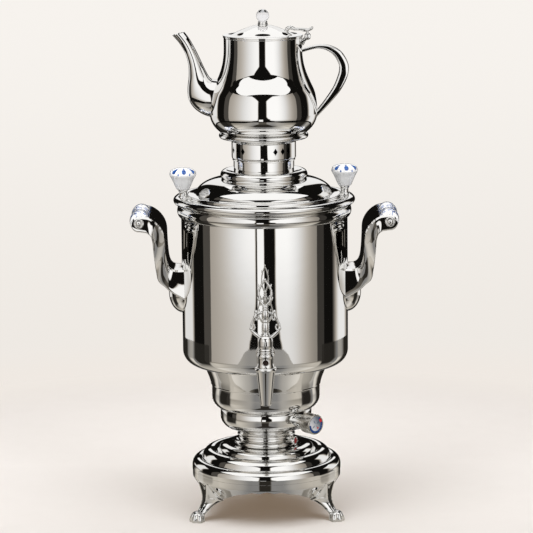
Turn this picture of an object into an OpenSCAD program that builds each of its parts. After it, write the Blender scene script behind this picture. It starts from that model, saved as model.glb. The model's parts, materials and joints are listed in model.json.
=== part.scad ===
// Electric samovar with a teapot on its crown.
// Millimetres, +Z up. The origin is where the vertical axis meets the table,
// the tap faces -Y and the two handles stand on +X and -X.

/* [Base] */
// Height of the seam between the base dome and the skirt
seam_h = 44.8; // [40:0.2:52]
// Outer radius of the skirt band
skirt_r = 73.3; // [70:0.1:78]
// Radius of the skirt's lower edge
skirt_foot_r = 63.6; // [60:0.1:66]
// Height of the skirt, seam to lowest edge
skirt_h = 22.4; // [20:0.2:24]
// Height of the skirt's upright band
skirt_band_h = 6.5; // [4:0.1:7.5]
// Wall of the skirt
skirt_wall = 1.6; // [1.2:0.1:2.2]
// Rise of the arches above the skirt's lower edge
arch_rise = 14; // [10:0.5:15]
// Half the width of each arch
arch_half_w = 46; // [40:1:47]
// Height of the ogee waves along each arch
ogee_wave = 0.8; // [0:0.1:1.2]
// Outer radius of the base dome
dome_r = 73.6; // [70:0.1:78]
// Height of the base dome
dome_rise = 24.7; // [23:0.1:28]
// Radius of the dome's middle step
step_2_r = 63.4; // [62:0.1:64.5]
// Radius of the dome's top step
step_1_r = 47; // [45:0.1:48.5]
// Wall of all spun sheet parts
sheet = 1.2; // [0.8:0.1:1.5]

/* [Feet] */
// Number of feet
feet = 3; // [3:1:3]
// Distance of each paw from the axis
paw_reach = 78; // [74:0.5:84]
// Width of the paw
paw_w = 17; // [14:0.5:19]
// Radius of a toe
toe_r = 3.1; // [2.6:0.1:3.4]
// Width of the knee where the leg meets the skirt
knee_w = 30; // [26:0.5:32]
// Width of the ankle
ankle_w = 9.5; // [8:0.5:11]

/* [Neck and lower bowl] */
// Height of the neck column
neck_h = 16.6; // [14:0.2:22]
// Radius of the neck column
neck_r = 27.2; // [25:0.1:28]
// Wall of the neck column
neck_wall = 1.8; // [1.4:0.1:2.4]
// Height of the lowest tier
tier_3_h = 20.2; // [18:0.2:24]
// Radius of the lowest tier
tier_3_r = 45; // [43:0.1:46]
// Height of the middle tier
tier_2_h = 24.5; // [22:0.5:30]
// Radius of the middle tier
tier_2_r = 53.2; // [51:0.1:54]
// Height of the upper funnel tier
tier_1_h = 19.2; // [16:0.2:24]
// Radius of the funnel where it meets the tank
tier_1_r = 61; // [59:0.1:63]

/* [Tank] */
// Outer radius of the tank
tank_r = 81.4; // [78:0.1:84]
// Height of the tank, floor to rim
tank_h = 160.3; // [140:0.1:180]
// Radius of the tank's lower corner
tank_corner_r = 13.5; // [12:0.5:16]
// How far the rim ring stands out from the tank
rim_out = 4; // [3.6:0.1:5.5]
// Height of the rim ring
rim_h = 12.6; // [11:0.1:14]

/* [Lid] */
// How far the lid's rolled edge stands out past the tank
lid_over = 7.4; // [6.5:0.1:8.5]
// Height of the rolled edge
roll_h = 8; // [7:0.1:9]
// How far the foot of the lid's dome lies inside the tank's radius
lid_dome_in = 14; // [13.5:0.1:16]
// Height of the lid's dome above its plateau
lid_dome_h = 15.1; // [13:0.1:17]
// Outer radius of the ring round the chimney
lid_ring_r = 42.6; // [41:0.1:44]
// Radius of the chimney neck
chimney_r = 29.6; // [28:0.1:30]
// Height of the lid's chimney, from the plateau to the stop ring's top
chimney_h = 34.1; // [33:0.1:40]
// Length of the spigot that the crown drops over
spigot_h = 7.5; // [5:0.1:9]
// Angle the loose lid is turned round on the rim
lid_turn = 6.5; // [0:0.5:12]
// How far the axis of each lid knob lies inside the tank's radius
lid_knob_in = 1.9; // [1.5:0.1:2.9]
// Largest radius of a lid knob
lid_knob_r = 12.9; // [12:0.1:14]
// Height of a lid knob
lid_knob_h = 21; // [19:0.5:24]
// Height of a lid knob's metal stem
lid_stem_h = 7.9; // [6:0.1:9]

/* [Crown] */
// Outer radius of the crown's drum
drum_r = 31.4; // [31:0.1:32]
// Height of the drum, bottom to the cup
drum_h = 17.4; // [16:0.1:22]
// Outer radius of the cup's rim
cup_r = 43.6; // [43:0.1:46]
// Height of each diamond vent
vent_h = 7; // [4:0.5:8]
// Width of each diamond vent
vent_w = 4.6; // [3:0.1:5.5]
// Angle between neighbouring vents
vent_pitch = 14.5; // [12:0.5:17]
// Number of vents in each of the four groups
vents_per_group = 3; // [1:1:4]

/* [Teapot] */
// Largest radius of the belly
belly_r = 52.3; // [50.5:0.1:53]
// Height of the belly's widest place
belly_z = 24; // [23:0.1:27]
// Radius of the teapot's mouth
mouth_r = 38; // [37:0.1:38.4]
// Height of the teapot's body
pot_h = 98.4; // [92:0.1:106]
// Wall of the teapot
pot_wall = 1; // [0.8:0.1:1.4]
// Height of the teapot lid's dome
pot_lid_h = 10.8; // [9:0.1:12]
// Radius of the crystal ball
crystal_r = 6.3; // [5.5:0.1:7]
// Length of the finial's stem
finial_h = 3.6; // [3.2:0.1:6]
// Wall of the spout
spout_wall = 1; // [0.8:0.1:1.4]
// Width of the teapot's handle
ear_w = 13; // [10:0.5:15]
// Distance of the lid hinge from the axis
hinge_reach = 43.4; // [43:0.1:46]
// Radius of the lid hinge's knuckles
knuckle_r = 3; // [2.6:0.1:3.2]
// Radius of the lid hinge's pin
hinge_pin_r = 1.2; // [1:0.05:1.4]

/* [Handles] */
// Distance of each grip from the axis
grip_reach = 121.3; // [119:0.1:124]
// Height of the grips above the tank floor
grip_z = 147; // [142:0.5:152]
// Length of a porcelain grip
grip_len = 66; // [60:1:70]
// Largest radius of a grip
grip_r = 9.6; // [9:0.1:10.2]
// Thickness of the cheeks that hold the rod
cheek = 6.5; // [5:0.5:8]
// Width of the bracket where it meets the tank
bracket_foot_w = 44; // [40:1:50]
// Height of the bracket, from the grip's axis down to its lower end
bracket_drop = 79; // [75:0.5:82]
// Radius of the rod through a grip
rod_r = 3; // [2.5:0.1:3.5]
// Radius of the domed boss behind each bracket
boss_r = 20; // [18:0.5:21]

/* [Tap] */
// Distance of the tap's turning axis from the samovar's axis
tap_reach = 118; // [114:1:126]
// Height of the tap's pipe above the tank floor
tap_z = 28; // [26:0.5:34]
// Outer radius of the tap's barrel
barrel_r = 8.3; // [8:0.1:9]
// Height of the barrel
barrel_h = 12.2; // [12:0.1:14]
// Radius of the bore through pipe and nozzle
tap_bore_r = 3.4; // [2.5:0.1:3.6]
// Outer radius of the pipe
pipe_r = 5.6; // [5.4:0.1:6]
// Length of the nozzle
nozzle_len = 32; // [28:1:40]
// Radius of the nozzle's tip
nozzle_tip_r = 5.2; // [4.8:0.1:6]
// Radius of the ring on top of the nozzle
nozzle_ring_r = 10.5; // [9.5:0.1:11]
// Radius of the plug at its top
plug_r = 5.4; // [5:0.1:5.6]
// Radius of the key's domed cap
key_cap_r = 7.2; // [7:0.1:8]
// Height of the key's domed cap
key_cap_h = 16.4; // [15:0.1:18]
// Thickness of the key's filigree
filigree_r = 1.15; // [0.9:0.05:1.4]

/* [Electrics] */
// Angle of the thermostat knob, right of the tap
dial_turn = 41.6; // [35:0.2:48]
// Radius of the thermostat knob
dial_r = 9.9; // [9:0.1:10.5]
// Length of the thermostat knob
dial_len = 15; // [12:0.5:18]
// Distance of the knob's face from the axis
dial_reach = 73.5; // [70:0.5:78]
// Radius of the thermostat's shaft
shaft_r = 3; // [2.5:0.1:3.2]
// Radius of the indicator lamp's lens
lamp_r = 3.2; // [2.6:0.1:3.4]
// Angle of the indicator lamp, right of the tap
lamp_turn = 64; // [56:1:72]
// Width of the power inlet's frame
inlet_w = 31; // [30:0.5:34]
// Height of the power inlet's frame
inlet_h = 22; // [21:0.5:23]
// Radius of the heating element's tube
heater_r = 4.25; // [3.5:0.05:4.5]
// Radius of the heating element's ring
heater_ring_r = 46; // [42:0.5:48]
// Radius of the tie rod that holds the stack together
tie_r = 4; // [3:0.5:5]

/* [Hidden] */
$fn = 96;
// Gap round parts that only drop into or over each other
loose = 0.3;
// Radial gap of turning fits
run = 0.05;
// Overshoot of cutting tools
cut = 1;

// Heights of the seats of the stacked sections
dome_top = seam_h + dome_rise;
neck_top = dome_top + neck_h;
tier_2_z = neck_top + tier_3_h;
tier_1_z = tier_2_z + tier_2_h;
tank_z = tier_1_z + tier_1_h;
rim_z = tank_z + tank_h;
plateau_z = 10.1;
crown_z = rim_z + plateau_z + chimney_h;
pot_seat = drum_h + 3.3;
pot_z = crown_z + pot_seat;
tap_h = tank_z + tap_z;
grip_h = tank_z + grip_z;
knob_h = neck_top + tier_3_h - 6.2;

STEEL = [0.82, 0.82, 0.80];
BRASS = [0.80, 0.68, 0.40];
PORCELAIN = [0.95, 0.95, 0.97];
RUBBER = [0.16, 0.16, 0.17];
BLACK = [0.08, 0.08, 0.09];
RED = [0.62, 0.06, 0.05];
BLUE = [0.55, 0.65, 0.80];
CRYSTAL = [0.90, 0.93, 0.98];
SHEATH = [0.62, 0.60, 0.56];

// ---------- outlines ----------

// Points along an elliptical arc from angle a0 to a1
function arc(cx, cz, rx, rz, a0, a1, n = 8) =
  [for (i = [0:n]) let (a = a0 + (a1 - a0) * i / n) [cx + rx * cos(a), cz + rz * sin(a)]];

// Smooth curve through the points p, with n steps between neighbours
function smooth(p, n = 4) = concat(
  [for (i = [0:len(p) - 2]) for (k = [0:n - 1])
    spot(p[max(i - 1, 0)], p[i], p[i + 1], p[min(i + 2, len(p) - 1)], k / n)],
  [p[len(p) - 1]]);
function spot(a, b, c, d, t) =
  0.5 * (2 * b + (c - a) * t + (2 * a - 5 * b + 4 * c - d) * t * t
  + (3 * b - a - 3 * c + d) * t * t * t);

// Direction of the outline p at point i, and that direction turned left
function unit(v) = v / norm(v);
function along(p, i) = unit(p[min(i + 1, len(p) - 1)] - p[max(i - 1, 0)]);
function before(p, i) = unit(p[max(i, 1)] - p[max(i, 1) - 1]);
function after(p, i) = unit(p[min(i, len(p) - 2) + 1] - p[min(i, len(p) - 2)]);
function left(v) = [-v[1], v[0]];
function mitre(p, i) = left(before(p, i)) + left(after(p, i));

// The outline p moved by t to its left, and the closed wall between the two
function offset_line(p, t) =
  [for (i = [0:len(p) - 1]) let (m = mitre(p, i)) p[i] + 2 * t * m / (m * m)];
function reversed(p) = [for (i = [len(p) - 1:-1:0]) p[i]];
function wall(p, t) = concat(p, reversed(offset_line(p, t)));

module spun(p) rotate_extrude() polygon(p);
module shell(p, t) spun(wall(p, t));
module tube(r_out, r_in, h) difference() {
  cylinder(r = r_out, h = h);
  translate([0, 0, -cut]) cylinder(r = r_in, h = h + 2 * cut);
}

// Solid through rings of points, each ring with the same number of points
module loft(rings) {
  n = len(rings[0]);
  m = len(rings);
  polyhedron(
    points = [for (r = rings) each r],
    faces = concat(
      [[for (k = [n - 1:-1:0]) k]],
      [[for (k = [0:n - 1]) (m - 1) * n + k]],
      [for (i = [0:m - 2]) for (k = [0:n - 1])
        [i * n + k, i * n + (k + 1) % n, (i + 1) * n + (k + 1) % n, (i + 1) * n + k]]));
}

// Sweep along a path in the XZ plane: d is the thickness in that plane, w the width across it
module strap(path, d, w, sides = 12, flat = 1) loft(
  [for (i = [0:len(path) - 1]) let (n = left(along(path, i)))
    [for (k = [0:sides - 1]) let (a = 360 * (k + 0.5) / sides, c = cos(a), s = sin(a))
      [path[i][0] + n[0] * d[i] / 2 * soft(c, flat), w[i] / 2 * soft(s, flat),
       path[i][1] + n[1] * d[i] / 2 * soft(c, flat)]]]);
function soft(v, flat) = sign(v) * pow(abs(v), flat);

// Places its children on a radial axis: +Z points outwards, turned right of the tap by a
module radial(a, z) translate([0, 0, z]) rotate([0, 0, a - 90]) rotate([0, 90, 0]) children();

// ---------- base ----------

skirt_line = [
  [skirt_r, seam_h], [skirt_r, seam_h - skirt_band_h], [skirt_foot_r, seam_h - skirt_h]];
ledge_h = 1.4;
ledge_r = 66;

// Height of an arch's edge above the skirt's lower edge, at distance x from its middle
function arch_edge(x) =
  arch_rise * (1 - pow(abs(x) / arch_half_w, 2.6)) + ogee_wave * cos(24 * x) * (1 - abs(x) / arch_half_w);

module arch_cut() rotate([90, 0, 0]) linear_extrude(dome_r + cut) translate([0, seam_h - skirt_h])
  polygon(concat([for (x = [-arch_half_w:2:arch_half_w]) [x, arch_edge(x)]],
    [[arch_half_w, -seam_h], [-arch_half_w, -seam_h]]));

module foot_turns() for (i = [0:feet - 1]) rotate([0, 0, 90 + 360 * i / feet]) children();

module base_skirt() color(STEEL) difference() {
  union() {
    shell(skirt_line, -skirt_wall);
    translate([0, 0, seam_h - ledge_h]) tube(skirt_r - skirt_wall / 2, ledge_r, ledge_h);
  }
  for (i = [0:feet - 1]) rotate([0, 0, 360 * i / feet]) arch_cut();
  foot_turns() translate([0, 0, screw_z]) rotate([0, 90, 0]) cylinder(r = screw_r + run, h = dome_r);
}

// A cast leg: the knee lies on the skirt, the ankle runs out to the paw
screw_r = 2;
screw_z = 33;
knee_z = 37.2;
leg_r = skirt_r - 5;
leg_sides = 16;
module leg() {
  ankle = paw_reach - 6;
  path = smooth([[leg_r - 1, knee_z], [leg_r - 1.2, 29], [leg_r - 0.4, 20.5],
    [ankle - 2, 13], [ankle + 2.5, 7.5], [paw_reach - 1, 5]], 2);
  n = len(path) - 1;
  loft([for (i = [0:n]) let (t = i / n,
      w = ankle_w + (knee_w - ankle_w) * pow(1 - t, 2.4) + 4 * pow(t, 4),
      d = 8.5 + 3.5 * pow(1 - t, 3))
    [for (k = [0:leg_sides - 1]) let (a = 360 * k / leg_sides, s = sin(a), c = cos(a),
        bulge = d * (c > 0 ? c : 0.55 * c) * (1 - 0.25 * s * s), v = left(along(path, i)))
      [path[i][0] + v[0] * bulge, w / 2 * s, path[i][1] + v[1] * bulge]]]);
}

toe_sink = 0.7;
module toe(a) translate([paw_reach, 0, toe_r - toe_sink]) rotate([0, 0, a])
  translate([paw_w / 2 - toe_r, 0, 0]) sphere(r = toe_r, $fn = 24);

module paw() difference() {
  union() {
    translate([paw_reach - 1.5, 0, 4.6]) sphere(r = 6.6, $fn = 32);
    for (a = [-75, -25, 25, 75]) toe(a);
  }
  translate([paw_reach - paw_w, -paw_w, -10]) cube([2 * paw_w, 2 * paw_w, 10]);
}

module foot(turn) color(STEEL) rotate([0, 0, turn]) difference() {
  union() {
    leg();
    paw();
  }
  spun([[0, seam_h], skirt_line[0], skirt_line[1], skirt_line[2], [0, seam_h - skirt_h]]);
  translate([0, 0, screw_z]) rotate([0, 90, 0]) cylinder(r = screw_r + run, h = leg_r + 3);
}
module foot_left() foot(210);
module foot_right() foot(330);
module foot_rear() foot(90);

screw_start = skirt_foot_r - 3.6;
screw_head_r = 3.6;
screw_head_h = 2.2;
module foot_screws() color(STEEL) foot_turns() translate([screw_start, 0, screw_z]) rotate([0, 90, 0]) {
  cylinder(r = screw_r, h = leg_r + 2.5 - screw_start);
  cylinder(r = screw_head_r, h = screw_head_h);
}

// Three rounded steps, from the tie rod's hole out to the seam
step_round = [5.5, 8.8, 7];
step_drop = [0, 4.2, 12.9];
function step_x(i) = [step_1_r, step_2_r, dome_r][i] - step_round[i];
function step_y(i) = dome_top - step_drop[i] - step_round[i];
function step_start(i, inner_r) = acos(max(-1, (inner_r - step_x(i)) / step_round[i]));
dome_line = concat(
  [[tie_r + loose, dome_top]],
  arc(step_x(0), step_y(0), step_round[0], step_round[0], 90, 0),
  arc(step_x(1), step_y(1), step_round[1], step_round[1], step_start(1, step_1_r), 0, 10),
  arc(step_x(2), step_y(2), step_round[2], step_round[2], step_start(2, step_2_r), 0, 9),
  [[dome_r, seam_h]]);
module base_dome() color(STEEL) shell(dome_line, -sheet);

plate_z = seam_h - ledge_h - sheet;
module bottom_plate() color(STEEL) translate([0, 0, plate_z])
  tube(skirt_r - skirt_wall - 0.8, tie_r + loose, sheet);

nut_h = 5;
nut_r = 7.5;
washer_r = 9;
module tie_rod() color(STEEL) translate([0, 0, plate_z - nut_h - 2])
  cylinder(r = tie_r, h = tank_z - plate_z + nut_h + 2);
module tie_nut() color(STEEL) translate([0, 0, plate_z - nut_h]) difference() {
  union() {
    cylinder(r = nut_r, h = nut_h, $fn = 6);
    translate([0, 0, nut_h - 1]) cylinder(r = washer_r, h = 1);
  }
  translate([0, 0, -cut]) cylinder(r = tie_r + run, h = nut_h + 2 * cut);
}

// ---------- neck ----------

neck_line = concat(
  [[neck_r + 1.2, dome_top]],
  arc(neck_r + 1.4, dome_top + 2.9, 3, 2.8, -75, 90, 8),
  arc(neck_r + 2.6, dome_top + 8.3, 2.6, 2.6, 270, 180, 4),
  arc(neck_r - 0.4, dome_top + 10.2, 1.7, 1.7, -60, 60, 5),
  [[neck_r, dome_top + 12.6], [neck_r + 0.3, neck_top - 1.6], [neck_r + 1.3, neck_top]]);
lamp_bore_r = lamp_r + 1.4;
lamp_z = dome_top + lamp_bore_r + 0.3;
module neck_column() color(STEEL) difference() {
  spun(concat([[neck_r - neck_wall, dome_top]], neck_line, [[neck_r - neck_wall, neck_top]]));
  radial(lamp_turn, lamp_z) translate([0, 0, neck_r - 6]) cylinder(r = lamp_bore_r, h = 20);
}
bezel_len = 8.2;
lens_start = neck_r - 8;
lens_end = neck_r + 4.6;
module lamp_bezel() color(STEEL) radial(lamp_turn, lamp_z) translate([0, 0, neck_r - 3])
  tube(lamp_bore_r, lamp_r, bezel_len);
module lamp_lens() color(RED) radial(lamp_turn, lamp_z) spun(concat(
  [[0, lens_start], [lamp_r, lens_start], [lamp_r, lens_end]], arc(0, lens_end, lamp_r, 1.6, 15, 90, 4)));

// ---------- lower bowl ----------

tier_3_line = concat(
  arc(tier_3_r - 13.1, neck_top + 12, 13.1, 12, -90, 0, 10),
  [[tier_3_r, tier_2_z - 1.6], [tier_3_r - 1, tier_2_z]]);
tier_2_line = concat(
  arc(tier_2_r - 12, tier_2_z + 12, 12, 12, -60, 0, 8),
  [[tier_2_r, tier_1_z - 1], [tier_2_r + 1, tier_1_z]]);
tier_1_line = smooth([
  [tier_2_r + 1, tier_1_z + 1], [tier_2_r + 3.2, tier_1_z + 0.42 * tier_1_h],
  [tier_1_r, tank_z - 1.2]], 4);
bowl_line = concat([[tie_r + loose, neck_top]], tier_3_line, tier_2_line, tier_1_line,
  [[tier_1_r, tank_z]]);

module bowl_envelope() spun(concat([[0, neck_top]], bowl_line, [[0, tank_z]]));

inlet_z = tier_2_z + 12.4;
inlet_y = tier_2_r + 2.4;
module centred_box(w, y0, y1, h) translate([-w / 2, y0, -h / 2]) cube([w, y1 - y0, h]);

module lower_bowl() color(STEEL) difference() {
  shell(bowl_line, sheet);
  at_dial(tier_3_r - 8) cylinder(r = bush_thread_r, h = 16);
  translate([0, 0, inlet_z])
    centred_box(inlet_w - inlet_lip, tier_2_r - 16, tier_2_r + cut, inlet_h - inlet_lip);
}

// The inlet: a flange outside the bowl, a body through its window and a socket with three pins
inlet_lip = 3;
inlet_wall = 3.25;
socket_depth = 16;
pin_w = 2;
pin_h = 4;
pin_gap = 0.02;
PINS = [[-7, 2], [7, 2], [0, -2]];
module power_inlet() color(BLACK) translate([0, 0, inlet_z]) difference() {
  union() {
    difference() {
      centred_box(inlet_w, tier_2_r - 9, inlet_y, inlet_h);
      translate([0, 0, -inlet_z]) bowl_envelope();
    }
    centred_box(inlet_w - inlet_lip, tier_2_r - 26, tier_2_r, inlet_h - inlet_lip);
  }
  centred_box(inlet_w - 2 * inlet_wall, inlet_y - socket_depth, inlet_y + cut, inlet_h - 2 * inlet_wall);
  for (p = PINS) translate([p[0], 0, p[1]]) centred_box(pin_w + pin_gap, 0, tier_2_r, pin_h + pin_gap);
}
module inlet_pins() color(BRASS) for (p = PINS) translate([p[0], 0, inlet_z + p[1]])
  centred_box(pin_w, tier_2_r - 30, inlet_y - 4, pin_h);

// ---------- thermostat ----------

bush_thread_r = 4.8;
bush_r = 6.2;
bush_end = dial_reach - dial_len - 0.4;
bush_start = tier_3_r - 4;
stat_r = 9.5;
stat_len = 20;
stat_end = tier_3_r - 8.6;
shaft_start = stat_end - 11.5;
shaft_end = dial_reach - 5;
module at_dial(z) radial(dial_turn, knob_h) translate([0, 0, z]) children();
module thermostat_bush() color(STEEL) difference() {
  union() {
    difference() {
      at_dial(bush_start) cylinder(r = bush_r, h = bush_end - bush_start);
      bowl_envelope();
    }
    at_dial(stat_end) cylinder(r = bush_thread_r, h = tier_3_r - stat_end + 1);
  }
  at_dial(0) cylinder(r = shaft_r + run, h = dial_reach);
}
module thermostat_body() color(BLACK) at_dial(stat_end - stat_len) difference() {
  cylinder(r = stat_r, h = stat_len);
  translate([0, 0, 8]) cylinder(r = shaft_r + run, h = stat_len);
}
module thermostat_shaft() color(STEEL) at_dial(shaft_start)
  cylinder(r = shaft_r, h = shaft_end - shaft_start);
// The knob is drawn from its back to its face, whose printed disc lies in a recess
face_r = dial_r - 1.5;
face_z = dial_len - 1.4;
knob_line = concat(
  [[0, 0], [dial_r - 1.6, 0]], arc(dial_r - 1.6, 1.2, 1.2, 1.2, -90, 0, 3),
  arc(dial_r - 0.8, dial_len - 1.6, 0.8, 1, 0, 90, 3),
  [[face_r, dial_len - 0.6], [face_r, face_z], [0, face_z]]);
module thermostat_knob() color(STEEL) at_dial(dial_reach - dial_len) difference() {
  spun(knob_line);
  translate([0, 0, -cut]) cylinder(r = shaft_r, h = shaft_end - dial_reach + dial_len + cut);
}
module dial_face() color(BLUE) at_dial(dial_reach - dial_len + face_z) cylinder(r = face_r, h = 0.7);

// ---------- tank ----------

tank_line = concat(
  [[0, tank_z], [tier_1_r, tank_z], [tier_1_r + 3, tank_z + 0.6]],
  arc(tank_r - tank_corner_r, tank_z + 2 + tank_corner_r, tank_corner_r, tank_corner_r, -84, 0, 10),
  [[tank_r, rim_z - rim_h / 2]]);
module tank_envelope() spun(concat(tank_line, [[0, rim_z - rim_h / 2]]));
heater_leg_turn = 12;
module heater_legs() for (s = [-1, 1]) rotate([0, 0, 90 + s * heater_leg_turn])
  translate([heater_ring_r, 0, 0]) children();

module body_tank() color(STEEL) difference() {
  shell(tank_line, sheet);
  translate([0, -tank_r + 8, tap_h]) rotate([90, 0, 0]) cylinder(r = pipe_r + run, h = 16);
  for (s = [-1, 1]) translate([s * (tank_r - 8), 0, bolt_h]) rotate([0, s * 90, 0])
    cylinder(r = bolt_r + run, h = 16);
  heater_legs() translate([0, 0, tank_z - cut]) cylinder(r = heater_r + run, h = 6);
}

module rim_ring() color(STEEL) difference() {
  rotate_extrude() translate([tank_r - 0.2, rim_z - rim_h / 2])
    polygon(arc(0, 0, rim_out, rim_h / 2, 0, 345, 23));
  translate([0, 0, rim_z - rim_h - cut]) cylinder(r = tank_r, h = rim_h / 2 + cut);
  translate([0, 0, rim_z - rim_h - cut]) cylinder(r = tank_r - sheet - 2, h = rim_h + 2 * cut);
}

// ---------- heating ----------

heater_z = tank_z + 16;
module heating_element() color(SHEATH) {
  translate([0, 0, heater_z]) rotate([0, 0, 90 + heater_leg_turn])
    rotate_extrude(angle = 360 - 2 * heater_leg_turn) translate([heater_ring_r, 0]) circle(r = heater_r);
  heater_legs() translate([0, 0, tank_z - 9]) cylinder(r = heater_r, h = heater_z - tank_z + 9);
  heater_legs() translate([0, 0, heater_z]) sphere(r = heater_r);
}
element_nut_h = 4;
module element_nuts() color(BRASS) heater_legs() translate([0, 0, tank_z - element_nut_h]) difference() {
  cylinder(r = 7.6, h = element_nut_h, $fn = 6);
  translate([0, 0, -cut]) cylinder(r = heater_r + run, h = element_nut_h + 2 * cut);
}
module element_seals() color(RUBBER) difference() {
  heater_legs() translate([0, 0, tank_z]) tube(6.8, heater_r + run, 3.6);
  difference() {
    spun(concat([[0, 0], [tank_r, 0]], [[tank_r, rim_z], [0, rim_z]]));
    spun(concat(offset_line(tank_line, sheet), [[0, rim_z - rim_h / 2]]));
  }
}
cutout_at = [-26, -16, tank_z - 7];
module safety_cutout() color(BLACK) difference() {
  translate(cutout_at) {
    cylinder(r = 8, h = 7.2);
    translate([0, 0, -3]) cylinder(r = 5, h = 4);
  }
  tank_envelope();
}

// ---------- tap ----------

barrel_z = tap_h - barrel_h / 2;
collar_h = 3.5;
flange_r = 10.4;
plug_foot_r = plug_r - 0.7;
plug_foot_z = barrel_z + 1;
module at_tap() translate([0, -tap_reach, 0]) children();

module tap_body() color(STEEL) difference() {
  union() {
    at_tap() spun([[0, barrel_z], [barrel_r, barrel_z], [barrel_r, barrel_z + barrel_h - 1.2],
      [barrel_r - 0.8, barrel_z + barrel_h], [0, barrel_z + barrel_h]]);
    difference() {
      translate([0, -tank_r + 8, tap_h]) rotate([90, 0, 0]) {
        cylinder(r = flange_r, h = 11);
        cylinder(r1 = flange_r, r2 = pipe_r, h = 15);
      }
      tank_envelope();
    }
    at_tap() translate([0, 0, tap_h]) rotate([-90, 0, 0]) cylinder(r = pipe_r, h = tap_reach - 66);
  }
  at_tap() spun([[0, plug_foot_z], [plug_foot_r + run, plug_foot_z],
    [plug_r + run, barrel_z + barrel_h + 0.01], [0, barrel_z + barrel_h + 0.01]]);
  at_tap() translate([0, 0, tap_h]) rotate([-90, 0, 0]) cylinder(r = tap_bore_r, h = tap_reach - 60);
  at_tap() translate([0, 0, barrel_z - cut]) cylinder(r = tap_bore_r, h = 5);
}

nozzle_line = [[tap_bore_r, barrel_z], [nozzle_ring_r - 1.6, barrel_z], [nozzle_ring_r, barrel_z - 1.6],
  [nozzle_ring_r, barrel_z - 2.8], [nozzle_ring_r - 1.2, barrel_z - 4.2],
  [nozzle_tip_r + 0.2, barrel_z - 4.2 - nozzle_len], [nozzle_tip_r - 0.8, barrel_z - 5 - nozzle_len],
  [tap_bore_r, barrel_z - 5 - nozzle_len]];
module tap_nozzle() color(STEEL) at_tap() spun(nozzle_line);

collar_line = concat([[plug_foot_r + run, 0]],
  arc(barrel_r - 2.1, collar_h / 2, 1.7, collar_h / 2, -90, 90, 8), [[plug_foot_r + run, collar_h]]);
module tap_collar() color(STEEL) at_tap() translate([0, 0, barrel_z + barrel_h]) spun(collar_line);

// Tapered plug with an L-shaped way: in from the side, out at the bottom
way_r = tap_bore_r - 0.6;
module tap_plug() color(BRASS) at_tap() difference() {
  spun([[0, plug_foot_z + run], [plug_foot_r, plug_foot_z + run], [plug_r, barrel_z + barrel_h - 0.1],
    [plug_foot_r, barrel_z + barrel_h - 0.1], [plug_foot_r, key_z], [0, key_z]]);
  translate([0, 0, plug_foot_z - cut]) cylinder(r = way_r, h = tap_h - plug_foot_z + cut);
  translate([0, 0, tap_h]) rotate([0, 90, 0]) cylinder(r = way_r, h = plug_r + cut);
}

key_z = barrel_z + barrel_h + collar_h + run;
cap_line = concat([[0, key_z], [key_cap_r - 0.6, key_z], [key_cap_r, key_z + 1]],
  arc(key_cap_r - 5.4, key_z + key_cap_h - 6, 5.4, 6, 0, 80, 7), [[0, key_z + key_cap_h]]);
module tap_cap() color(STEEL) at_tap() spun(cap_line);

// A wire of round section through points of the XZ plane, and a bead on it
module wire(p, r, steps = 3, sides = 8) {
  s = smooth(p, steps);
  strap(s, [for (v = s) 2 * r], [for (v = s) 2.2 * r], sides);
}
module bead(x, z, r) translate([x, 0, z]) sphere(r = r, $fn = 14);

// Filigree key: a leaf-shaped loop over a turned post, with a scrolled arm on each side
post_line = [[0, 0], [3.4, 0], [3.6, 1], [2.7, 2.2], [2.7, 7.4], [3.6, 8.2], [3.6, 9.4],
  [2.5, 10.4], [2.9, 14], [3.5, 20.5], [2.6, 22.5], [2.2, 24.6], [2.9, 26], [0, 26.4]];
module arm(s) scale([s, 1, 1]) {
  wire([[2.2, 21.6], [4.4, 20.4], [6.8, 20.2], [8.8, 19.2], [10.6, 16.6], [12.6, 12.4],
    [13.9, 7.4], [13.4, 3.2], [10.6, 0], [6, -4.4]], filigree_r);
  wire([[10.2, 17], [8.2, 12.2], [6.2, 13.4], [6.4, 15.6]], filigree_r * 0.8);
  wire([[12.6, 3.6], [10.6, 4.6], [9.8, 7]], filigree_r * 0.8);
  bead(8.8, 20.2, filigree_r * 1.5);
  bead(9.8, 7.2, filigree_r);
  bead(13.8, 3.4, filigree_r * 1.35);
}
module leaf(s) scale([s, 1, 1]) {
  wire([[0.4, 26], [3.2, 30.5], [5.6, 35.5], [6, 40.5], [4.2, 46.5], [0, 52]], filigree_r);
  bead(5.8, 34.6, filigree_r * 1.3);
  bead(4.6, 47.4, filigree_r * 1.2);
}
module tap_key() color(STEEL) at_tap() translate([0, 0, key_z + key_cap_h]) difference() {
  union() {
    rotate_extrude($fn = 24) polygon(post_line);
    for (s = [-1, 1]) {
      arm(s);
      leaf(s);
    }
    bead(0, 52.6, filigree_r * 1.5);
  }
  translate([0, 0, -key_z - key_cap_h]) rotate_extrude($fn = 48) polygon(cap_line);
}

tap_seal_r = 10.4;
module tap_inner(r, y0, y1, sides) translate([0, -y0, tap_h]) rotate([-90, 0, 0]) difference() {
  cylinder(r = r, h = y0 - y1, $fn = sides);
  translate([0, 0, -cut]) cylinder(r = pipe_r + run, h = y0 - y1 + 2 * cut);
}
seal_end = tank_r - sheet - 2.4;
tap_nut_h = 4.6;
module tap_seal() color(RUBBER) difference() {
  tap_inner(tap_seal_r, tank_r, seal_end, 96);
  translate([0, 0, tank_z]) tube(tank_r + cut, tank_r - sheet, tank_h, $fn = 720);
}
module tap_nut() color(BRASS) tap_inner(11.5, seal_end, seal_end - tap_nut_h, 6);

// ---------- handles ----------

cheek_r = 7.4;
half_span = grip_len / 2 + loose + cheek;
bolt_r = 3;
bolt_h = grip_h - 0.785 * bracket_drop;
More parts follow.
